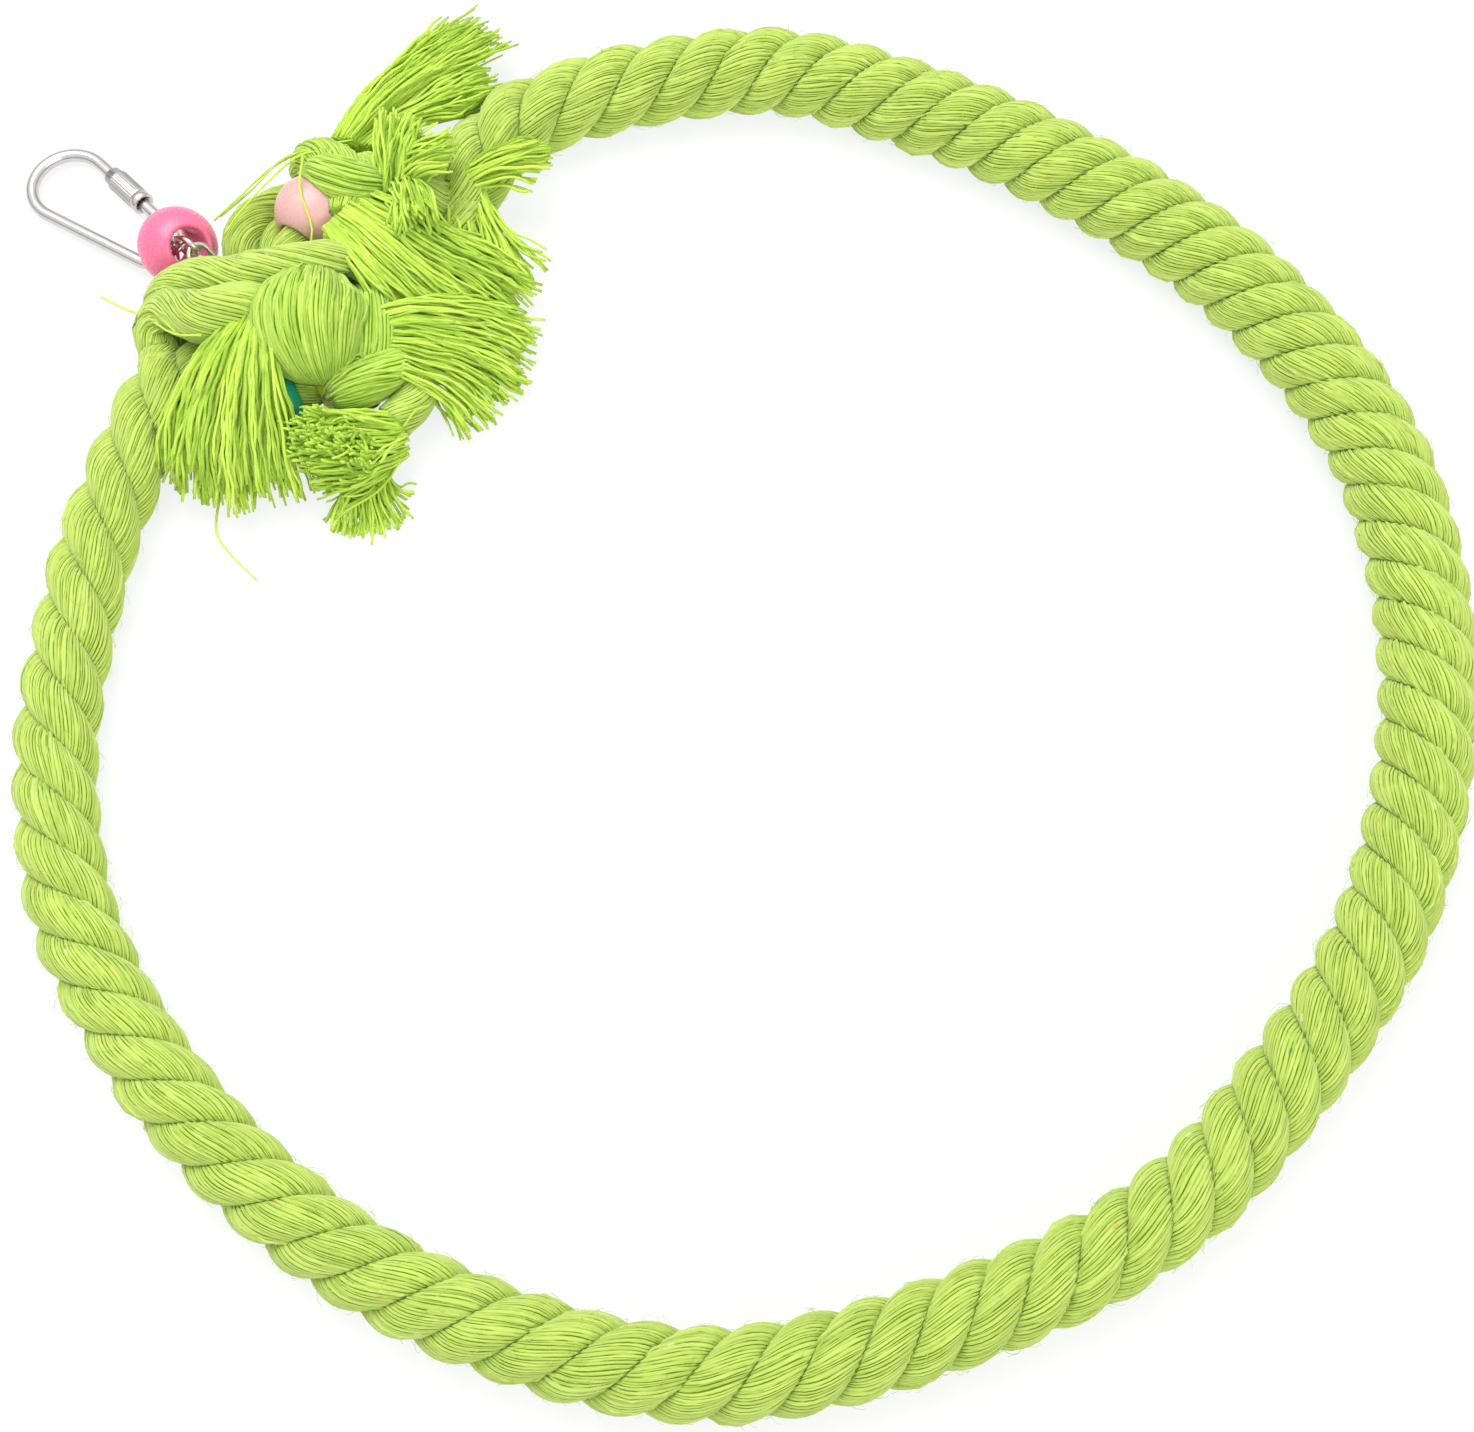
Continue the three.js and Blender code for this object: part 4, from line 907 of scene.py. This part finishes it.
def lay_knot_strands(strands, material, kind):
    """Lays strands of the knot with the single yarns raised on them.

    A strand has a name, a route, its yarns with their twist, how far it swells, the depth of its yarns, how
    many are raised and over how many stations, and the solids it stands for.
    """
    seeded = np.random.default_rng(SEEDS[f"raised_{kind}"])
    yarn = half(bpy.context.scene.swing_rope.yarn_diameter)
    raised = []
    for i, (name, rows, yarns, twist, swell, depth, count, window, nodes) in enumerate(strands):
        points, line, reach, share = soft_tube(rows, yarns, twist, SEEDS[kind] + i, swell, depth)
        number = share[None] + first_yarn(kind, i)
        lay_tubes(name, points[None], reach[None], number, material, nodes=nodes)
        raised.append(raised_yarns(points, line, seeded, count, window, yarn))
    lay_raised_yarns(f"raised_{kind}_yarns", np.concatenate(raised), material, yarn)


def lay_yarns(name, lines, radius, first, material, nodes=(), sides=4):
    """One piece of many free yarns or fibres."""
    tubes, along, share = yarn_tubes(lines, radius, sides)
    number = np.arange(len(lines))[:, None] + first + share
    lay_tubes(name, tubes, along, number, material, nodes)


class SWING_OT_ring_strands(bpy.types.Operator):
    """Lay the three yarn-covered strands of the ring"""

    bl_idname = "swing.ring_strands"
    bl_label = "Ring Strands"

    def execute(self, context):
        cotton, _, _ = cotton_materials()
        rope = Rope(SKIN_STATIONS)
        seeded = np.random.default_rng(SEEDS["raised_strand"])
        yarn = half(context.scene.swing_rope.yarn_diameter)
        raised = []
        for number in range(STRANDS):
            line, over, across = rope.strand_line(number)
            reach = distances(line)
            # Yarns wind back against the lay
            turn = 2 * np.pi * reach / STRAND_TWIST
            seed = SEEDS["strand"] + number
            points, share = ridged_tube(
                line, over, across, rope.strand, turn, STRAND_YARNS, STRAND_FURROW, seed
            )
            points = on_floor(rope.pressed(points, number))
            yarns = share[None] + first_yarn("strand", number)
            node = f"strand_{number + 1}"
            piece = lay_tubes(f"yarn_{node}", points[None], reach[None], yarns, cotton, nodes=[node])
            raised.append(raised_yarns(points, line, seeded, STRAND_RAISED, STRAND_SPAN, yarn))
        lay_raised_yarns("raised_ring_yarns", np.concatenate(raised), cotton, yarn)
        return {"FINISHED"}


class SWING_OT_lint(bpy.types.Operator):
    """Raise short cotton fibres from the outside of the ring"""

    bl_idname = "swing.lint"
    bl_label = "Lint"

    def execute(self, context):
        _, _, loose = cotton_materials()
        cotton = context.scene.swing_rope
        rope = Rope(SKIN_STATIONS)
        seeded = np.random.default_rng(SEEDS["lint"])
        count = cotton.fibres // STRANDS
        share = np.linspace(0, 1, FIBRE_POINTS)[None, :, None]
        fibres = []
        for number in range(STRANDS):
            line, over, across = rope.strand_line(number)
            tangent = unit(np.gradient(line, axis=0))
            spot = seeded.integers(5, len(line) - 5, count)
            lean = seeded.uniform(-FIBRE_LEAN, FIBRE_LEAN, count)
            outward = turned(lean, over[spot], across[spot])
            sideways = turned(lean, across[spot], -over[spot])
            forward = tangent[spot] * seeded.choice((-1, 1), count)[:, None]
            way = unit(forward + seeded.normal(0, 0.5, (count, 1)) * sideways)
            root = line[spot] + outward * (rope.strand[spot] * 0.97)[:, None]
            length = seeded.uniform(*FIBRE_LENGTH, count)[:, None, None]
            lift = seeded.uniform(*FIBRE_LIFT, count)[:, None, None]
            curl = seeded.normal(0, 0.5, count)[:, None, None]
            fibres.append(
                root[:, None] + length * share * way[:, None] + lift * np.sin(2.2 * share) * outward[:, None]
                + curl * share**2 * sideways[:, None]
            )
        thickness = half(cotton.fibre_diameter)
        lines = on_floor(np.concatenate(fibres), thickness)
        radius = np.full(len(lines), thickness)
        lay_yarns("cotton_lint", lines, radius, first_yarn("lint"), loose, sides=3)
        return {"FINISHED"}


class SWING_OT_knot_tails(bpy.types.Operator):
    """Cross the ends of the strands in the knot and through the beads"""

    bl_idname = "swing.knot_tails"
    bl_label = "Knot Tails"

    def execute(self, context):
        cotton, _, _ = cotton_materials()
        rope = Rope(ROUTE_STATIONS)
        green, yellow = joint_place("green_bead_spin"), joint_place("yellow_bead_spin")
        pale, pale_axis = joint_place("pale_bead_spin"), joint_axis("pale_bead_spin")
        thread = joint_axis("green_bead_spin")
        routes = {
            "left_tail_1": tail_rows(rope, 2, True, LEFT_TAIL_1),
            "left_tail_2": tail_rows(rope, 1, True, LEFT_TAIL_2),
            "left_tail_3": np.vstack([
                tail_rows(rope, 0, True, LEFT_TAIL_3_IN),
                threaded_rows(green, yellow, thread),
                knot_points(LEFT_TAIL_3_OUT),
            ]),
            "right_tail_1": tail_rows(rope, 2, False, RIGHT_TAIL_1),
            "right_tail_2": tail_rows(rope, 1, False, RIGHT_TAIL_2),
            "right_tail_3": np.vstack([
                tail_rows(rope, 0, False, RIGHT_TAIL_3_IN),
                threaded_rows(pale, pale, -pale_axis),
                knot_points(RIGHT_TAIL_3_OUT),
            ]),
        }
        strands = [
            (
                f"yarn_{name}", rows, yarns_round(rows), TAIL_TWIST, TAIL_SWELL, TAIL_FURROW,
                TAIL_RAISED, TAIL_SPAN, [name],
            )
            for name, rows in routes.items()
        ]
        lay_knot_strands(strands, cotton, "tail")
        return {"FINISHED"}


class SWING_OT_knot_wraps(bpy.types.Operator):
    """Wind the big middle wrap and the small top wrap of the knot"""

    bl_idname = "swing.knot_wraps"
    bl_label = "Knot Wraps"

    def execute(self, context):
        _, cotton, _ = cotton_materials()
        wraps = {
            "yarn_centre_wrap": (CENTRE_WRAP, 92, 400, 0.05, ["centre_wrap"]),
            "yarn_side_wrap": (SIDE_WRAP, 34, 240, 0.09, []),
            "yarn_under_wrap": (UNDER_WRAP, 34, 90, 0.09, []),
            "yarn_top_wrap": (TOP_WRAP, 40, 120, 0.08, ["top_wrap"]),
            "yarn_top_band": (TOP_BAND, 36, 240, 0.09, []),
        }
        strands = [
            (name, knot_points(rows), yarns, twist, WRAP_SWELL, depth, yarns // 2, WRAP_SPAN, nodes)
            for name, (rows, yarns, twist, depth, nodes) in wraps.items()
        ]
        lay_knot_strands(strands, cotton, "wrap")
        return {"FINISHED"}


def frayed_lines(fan, seeded):
    """Middle lines of a fan's yarns, which spread from its root in clumps, keep a crimp and end unevenly."""
    first, last, bow, thickness, count = fan
    edges = [evenly(smooth_curve(np.array(edge, float) + KNOT, 16), EDGE_POINTS) for edge in (first, last)]
    clumps = max(3, count // CLUMP_YARNS)
    clump = seeded.integers(0, clumps, count)
    place = np.clip((clump + 0.5 + seeded.normal(0, 0.45, count)) / clumps, 0, 1)
    share = np.linspace(0, 1, FRAYED_POINTS)
    longest = seeded.uniform(*CLUMP_LENGTH, clumps)[clump] * seeded.uniform(*YARN_LENGTH, count)
    longest = np.minimum(longest, 1)
    reach = share[None] * longest[:, None] * (EDGE_POINTS - 1)
    pick = np.clip(np.floor(reach).astype(int), 0, EDGE_POINTS - 2)
    rest = (reach - pick)[..., None]
    sides = [edge[pick] * (1 - rest) + edge[pick + 1] * rest for edge in edges]
    lines = sides[0] * (1 - place[:, None, None]) + sides[1] * place[:, None, None]
    tangent = unit(np.gradient(lines, axis=1))
    across = squared(np.broadcast_to(edges[1][-1] - edges[0][-1], lines.shape), tangent)
    over = np.cross(tangent, across)
    front = unit(edges[0][-1] + edges[1][-1] - edges[0][0] - edges[1][0])
    lines = lines + (bow * 4 * place * (1 - place))[:, None, None] * (share**2)[None, :, None] * front
    layer = seeded.uniform(-1, 1, count)
    lines = lines + (layer[:, None] * np.interp(share, (0, 1), thickness))[..., None] * over
    length = np.linalg.norm(lines[:, -1] - lines[:, 0], axis=1)
    loose = 0.35 + 0.65 * share
    for way, crimp, gather, sway in ((across, 0.34, 2, 1.7), (over, 0.34, 1.4, 1.1)):
        phase = seeded.uniform(0, 2 * np.pi, (2, count, 1))
        pitch = seeded.uniform(*CRIMP_WAVE, (count, 1))
        ripple = crimp * np.sin(2 * np.pi * share * length[:, None] / pitch + phase[0])
        single = sway * np.sin(2.4 * share + phase[1]) * seeded.normal(1, 0.5, (count, 1))
        drift = share**1.5 * (single + seeded.normal(0, gather, clumps)[clump][:, None])
        lines = lines + (loose * ripple + drift)[..., None] * way
    return lines


class SWING_OT_tassels(bpy.types.Operator):
    """Fray the strand ends into tassels of single yarns"""

    bl_idname = "swing.tassels"
    bl_label = "Tassels"

    def execute(self, context):
        _, _, loose = cotton_materials()
        yarn = half(context.scene.swing_rope.yarn_diameter)
        rope = Rope(ROUTE_STATIONS)
        for i, (name, fans) in enumerate(TASSELS.items()):
            seeded = np.random.default_rng(SEEDS["tassel"] + i)
            lines = np.concatenate([frayed_lines(fan, seeded) for fan in fans])
            radius = yarn * seeded.uniform(0.85, 1.15, len(lines))
            lines = on_floor(clear_of_beads(rope.outside(lines, yarn), yarn), np.max(radius))
            lay_yarns(f"yarn_{name}", lines, radius, first_yarn("tassel", i), loose, [name])
        return {"FINISHED"}


class SWING_OT_loose_yarns(bpy.types.Operator):
    """Let a few single yarns stray from the knot"""

    bl_idname = "swing.loose_yarns"
    bl_label = "Loose Yarns"

    def execute(self, context):
        _, _, loose = cotton_materials()
        yarn = half(context.scene.swing_rope.yarn_diameter) * STRAY_SHARE
        lines = np.array([
            evenly(smooth_curve(knot_points(rows), 16), STRAY_POINTS) for rows in LOOSE_YARNS
        ])
        lines = on_floor(clear_of_beads(lines, yarn), yarn)
        lay_yarns("stray_yarns", lines, np.full(len(lines), yarn), first_yarn("stray"), loose)
        return {"FINISHED"}


def turned_bmesh(profile, place, axis, steps=72):
    """A turned piece: the closed profile of radius and distance is spun about the axis through the place."""
    bm = bmesh.new()
    axis = Vector(axis).normalized()
    out = axis.orthogonal().normalized()
    place = Vector(place)
    verts = [bm.verts.new((place + out * r + axis * a) * MM) for r, a in profile]
    edges = [bm.edges.new((verts[i], verts[(i + 1) % len(verts)])) for i in range(len(verts))]
    bmesh.ops.spin(
        bm, geom=verts + edges, cent=place * MM, axis=axis, angle=2 * math.pi, steps=steps, use_merge=True
    )
    bmesh.ops.remove_doubles(bm, verts=bm.verts, dist=1e-7)
    bmesh.ops.recalc_face_normals(bm, faces=bm.faces)
    return bm


class SWING_OT_beads(bpy.types.Operator):
    """Turn the four beads with their eased bores"""

    bl_idname = "swing.beads"
    bl_label = "Beads"

    def execute(self, context):
        beads = context.scene.swing_beads
        outer, bore, face = half(beads.diameter), half(beads.bore), half(beads.length)
        rim = beads.rim / MM
        edge = math.asin(face / outer)
        profile = []
        for turn in np.linspace(-edge, edge, 33):
            profile.append((outer * math.cos(turn), outer * math.sin(turn)))
        for turn in np.linspace(math.pi / 2, math.pi, 6):
            profile.append((bore + rim + rim * math.cos(turn), face - rim + rim * math.sin(turn)))
        for along in np.linspace(face - rim, rim - face, 6)[1:]:
            profile.append((bore, along))
        for turn in np.linspace(math.pi, 1.5 * math.pi, 6)[1:]:
            profile.append((bore + rim + rim * math.cos(turn), rim - face + rim * math.sin(turn)))
        for bead, look in zip(BEADS, ("hot pink", "pale pink", "green", "yellow")):
            node, plastic = f"{bead}_bead", f"{look} plastic"
            bm = turned_bmesh(profile, joint_place(f"{node}_spin"), joint_axis(f"{node}_spin"))
            material = moulded_plastic(plastic, getattr(beads, bead))
            new_object(f"round_{node}", bm, material, f"bead_{bead}", [node])
        return {"FINISHED"}


def wire_bmesh(line, across, over, radius, sides, closed=False):
    """A round wire along a line, or a closed ring of it."""
    angle = 2 * np.pi * np.arange(sides + 1) / sides
    points = line[:, None] + radius * turned(angle, across[:, None], over[:, None])
    return tubes_bmesh(points[None], distances(line)[None], (np.arange(sides + 1) / sides)[None], closed)


class SWING_OT_chain(bpy.types.Operator):
    """Bend the chain's oval links round their joints"""

    bl_idname = "swing.chain"
    bl_label = "Chain"

    def execute(self, context):
        hardware = context.scene.swing_hardware
        wire, width, hook = (v / MM for v in (hardware.chain_wire, hardware.link_width, hardware.hook_wire))
        joints = [joint_place(name) for name in CHAIN_JOINTS]
        side = joint_axis(CHAIN_JOINTS[0])
        out = squared(np.cross(side, UP), UP)
        room = wire + CHAIN_CLEARANCE
        core_room = (CORE_WIRE + wire) / 2 + CORE_CLEARANCE
        hook_room = (hook + wire) / 2 + CHAIN_CLEARANCE
        links = [
            (5, joints[0], joints[1], UP, core_room, room),
            (4, joints[1], joints[2], side, 0, 0),
            (3, joints[2], joints[3], out, room, room),
            (2, joints[3], joints[4], side, 0, 0),
            (1, joints[4], joints[5], out, room, hook_room),
        ]
        bend = (width - wire) / 2
        turns = np.linspace(-np.pi / 2, np.pi / 2, 15)
        for number, start, end, lie, start_room, end_room in links:
            along = unit(end - start)
            flat = squared(lie, along)
            over = np.cross(along, flat)
            first = start + along * (bend - start_room)
            last = end + along * (end_room - bend)
            far = last + bend * turned(turns, along, flat)
            near = first + bend * turned(turns + np.pi, along, flat)
            line = np.vstack([far, near, far[:1]])
            wrapped = np.vstack([line[-2], line, line[1]])
            tangent = unit(wrapped[2:] - wrapped[:-2])
            up = np.broadcast_to(over, line.shape)
            bm = wire_bmesh(line, up, np.cross(tangent, up), wire / 2, 14, closed=True)
            nodes = [f"chain_link_{number}"]
            new_object(f"round_link_{number}", bm, plated_steel(), f"link_{number}", nodes)
        return {"FINISHED"}


class SWING_OT_hook(bpy.types.Operator):
    """Bend the pear-shaped hook and turn its knurled screw sleeve"""

    bl_idname = "swing.hook"
    bl_label = "Hook"

    def execute(self, context):
        hardware = context.scene.swing_hardware
        wire_radius = half(hardware.hook_wire)
        wide, narrow, centres = (
            v / MM for v in (hardware.wide_radius, hardware.narrow_radius, hardware.centres)
        )
        place = joint_place("hook_on_link_1")
        axis = joint_axis("sleeve_slide")
        side = -joint_axis("hook_on_link_1")
        slant = math.asin((wide - narrow) / centres)
        out = unit(axis + side * math.sin(slant))
        up = np.cross(out, side)

        def point(reach, across):
            return place + out * reach + side * across

        def gate(reach):
            return point(
                narrow * (1 - math.sin(slant)) + reach * math.cos(slant),
                -narrow * math.cos(slant) - reach * math.sin(slant),
            )

        # One wire from inside the sleeve round the narrow end and the wide end to the gate's other side
        gate_length = centres * math.cos(slant)
        mouth = gate_length - GATE_GAP - SLEEVE_LENGTH
        first_end = mouth + GATE_OVERLAP
        quarter = math.pi / 2
        line = [gate(r) for r in np.linspace(first_end, 0, 6)[:-1]]
        for middle, radius, start, end in (
            (narrow, narrow, -quarter - slant, -3 * quarter + slant),
            (narrow + centres, wide, quarter + slant, -quarter - slant),
        ):
            for turn in np.linspace(start, end, 33):
                line.append(point(middle + radius * math.cos(turn), radius * math.sin(turn)))
        line += [gate(r) for r in np.linspace(gate_length, first_end + GATE_GAP, 6)[1:]]
        line = np.array(line)
        tangent = unit(np.gradient(line, axis=0))
        across = np.cross(up, tangent)
        bm = wire_bmesh(line, across, np.cross(tangent, across), wire_radius, 20)
        new_object("round_hook", bm, plated_steel(), "hook", ["hook_frame"])

        # The sleeve's section: collar, grip, neck and the bore that slides on the wire
        bore, outer, end = wire_radius + SLIDE_CLEARANCE, SLEEVE_RADIUS, SLEEVE_LENGTH
        grip, grip_end = outer - GRIP_DROP, end - SLEEVE_NECK
        profile = [(MOUTH_RADIUS, 0.0), (MOUTH_FLAT, 0.0), (outer, EASE), (outer, SLEEVE_COLLAR - 0.2)]
        profile += [(grip, SLEEVE_COLLAR)]
        profile += [(grip, a) for a in np.linspace(SLEEVE_COLLAR + 0.1, grip_end - 0.3, GRIP_STATIONS)]
        profile += [(grip - 0.15, grip_end), (NECK_RADIUS, grip_end)]
        profile += [(NECK_RADIUS, end - 0.3), (NECK_RADIUS - EASE, end)]
        profile += [(bore, end), (bore, MOUTH_DEPTH), (MOUTH_RADIUS, MOUTH_DEPTH)]
        bm = turned_bmesh(profile, gate(mouth), axis)
        base = Vector(gate(mouth)) * MM
        way = Vector(axis)
        first = way.orthogonal().normalized()
        second = way.cross(first)
        for vert in bm.verts:
            offset = vert.co - base
            along = offset.dot(way) / MM
            flat = offset - way * offset.dot(way)
            gripped = SLEEVE_COLLAR + 0.05 < along < grip_end - 0.2
            if gripped and flat.length / MM > NECK_RADIUS - 0.1:
                turn = math.atan2(flat.dot(second), flat.dot(first))
                ridge = 0.5 + 0.5 * math.cos(KNURLS * turn)
                vert.co += flat.normalized() * (KNURL_HEIGHT * ridge * MM)
        new_object("knurled_sleeve", bm, plated_steel(), "sleeve", ["hook_sleeve"])
        return {"FINISHED"}


class SWING_OT_core(bpy.types.Operator):
    """Finish the wire and ferrule inside the rope"""

    bl_idname = "swing.core"
    bl_label = "Core Wire"

    def execute(self, context):
        material = drawn_wire("drawn steel wire", context.scene.swing_hardware.core)
        for node in ("core_wire", "core_ferrule"):
            mesh = frame["nodes"][node].data
            mesh.materials.clear()
            mesh.materials.append(material)
        return {"FINISHED"}


class SWING_OT_stage(bpy.types.Operator):
    """Set the floor, the soft light and the camera"""

    bl_idname = "swing.stage"
    bl_label = "Stage"

    def execute(self, context):
        scene = context.scene
        stage = scene.swing_stage
        bm = bmesh.new()
        bmesh.ops.create_grid(bm, x_segments=1, y_segments=1, size=FLOOR_REACH * MM)
        mesh = bpy.data.meshes.new("paper floor")
        bm.to_mesh(mesh)
        bm.free()
        mesh.transform(((1, 0, 0, 0), (0, 1, 0, 0), (0, 0, 1, -FLOOR_DROP * MM), (0, 0, 0, 1)))
        mesh.materials.append(white_paper("white paper", stage.paper))
        floor = bpy.data.objects.new("paper_floor", mesh)
        scene.collection.objects.link(floor)

        world = bpy.data.worlds.new("soft room")
        world.use_nodes = True
        tree = world.node_tree
        node = partial(add_node, tree)
        path = node("LightPath").outputs
        seen = node("Math", {0: path["Is Camera Ray"], 1: path["Is Glossy Ray"]}, operation="MAXIMUM")
        strength = node("MapRange", {"Value": seen, "To Min": 0.55, "To Max": 1.0})
        # Bright metal mirrors the darker room below the lamps
        way = node("TexCoord").outputs["Generated"]
        height = node("SeparateXYZ", {"Vector": way}).outputs["Z"]
        room = node(
            "MapRange", {"Value": height, "From Min": 0.1, "From Max": 0.5, "To Min": 0.4, "To Max": 1.0}
        )
        dim = node("Mix", {"Factor": path["Is Glossy Ray"], "A": 1.0, "B": room})
        strength = node("Math", {0: strength, 1: dim}, operation="MULTIPLY")
        fill_sockets(tree, tree.nodes["Background"], {"Color": (1, 1, 1, 1), "Strength": strength})
        scene.world = world
        for name, (place, size, power) in LAMPS.items():
            lamp = bpy.data.lights.new(name, "AREA")
            lamp.size = size
            lamp.energy = power
            light = bpy.data.objects.new(name, lamp)
            light.location = place
            light.rotation_euler = (-Vector(place)).to_track_quat("-Z", "Y").to_euler()
            scene.collection.objects.link(light)

        lens = bpy.data.cameras.new("camera")
        lens.sensor_width = SENSOR_WIDTH
        lens.lens = LENS_RATIO * SENSOR_WIDTH
        lens.clip_start, lens.clip_end = 0.01, 20
        camera = bpy.data.objects.new("camera", lens)
        aim = (HOOP_CENTRE + AIM_OFFSET) * MM
        back = Vector((0, -math.cos(stage.elevation), math.sin(stage.elevation)))
        camera.location = Vector(aim) + back * stage.distance
        camera.rotation_euler = back.to_track_quat("Z", "Y").to_euler()
        scene.collection.objects.link(camera)
        scene.camera = camera
        scene.view_settings.view_transform = "Standard"
        return {"FINISHED"}


class SWING_PT_panel(bpy.types.Panel):
    """Lists the swing's pieces in the sidebar"""

    bl_idname = "SWING_PT_panel"
    bl_label = "Rope Ring Bird Swing"
    bl_space_type = "VIEW_3D"
    bl_region_type = "UI"
    bl_category = "Swing"

    def draw(self, context):
        for name in GROUPS:
            group = getattr(context.scene, name)
            box = self.layout.box()
            for setting in group.__annotations__:
                box.prop(group, setting)
        for operator in OPERATORS:
            self.layout.operator(operator.bl_idname)


OPERATORS = (
    SWING_OT_stage,
    SWING_OT_ring_strands,
    SWING_OT_lint,
    SWING_OT_knot_tails,
    SWING_OT_knot_wraps,
    SWING_OT_tassels,
    SWING_OT_loose_yarns,
    SWING_OT_beads,
    SWING_OT_chain,
    SWING_OT_hook,
    SWING_OT_core,
)
GROUPS = {
    "swing_rope": SwingRopeSettings,
    "swing_beads": SwingBeadSettings,
    "swing_hardware": SwingHardwareSettings,
    "swing_stage": SwingStageSettings,
}


def register():
    for name, group in GROUPS.items():
        bpy.utils.register_class(group)
        setattr(bpy.types.Scene, name, bpy.props.PointerProperty(type=group))
    for operator in OPERATORS:
        bpy.utils.register_class(operator)
    bpy.utils.register_class(SWING_PT_panel)


def unregister():
    bpy.utils.unregister_class(SWING_PT_panel)
    for operator in reversed(OPERATORS):
        bpy.utils.unregister_class(operator)
    for name, group in GROUPS.items():
        delattr(bpy.types.Scene, name)
        bpy.utils.unregister_class(group)


def main():
    register()
    for operator in OPERATORS:
        group, name = operator.bl_idname.split(".")
        getattr(getattr(bpy.ops, group), name)()


if __name__ == "__main__":
    main()
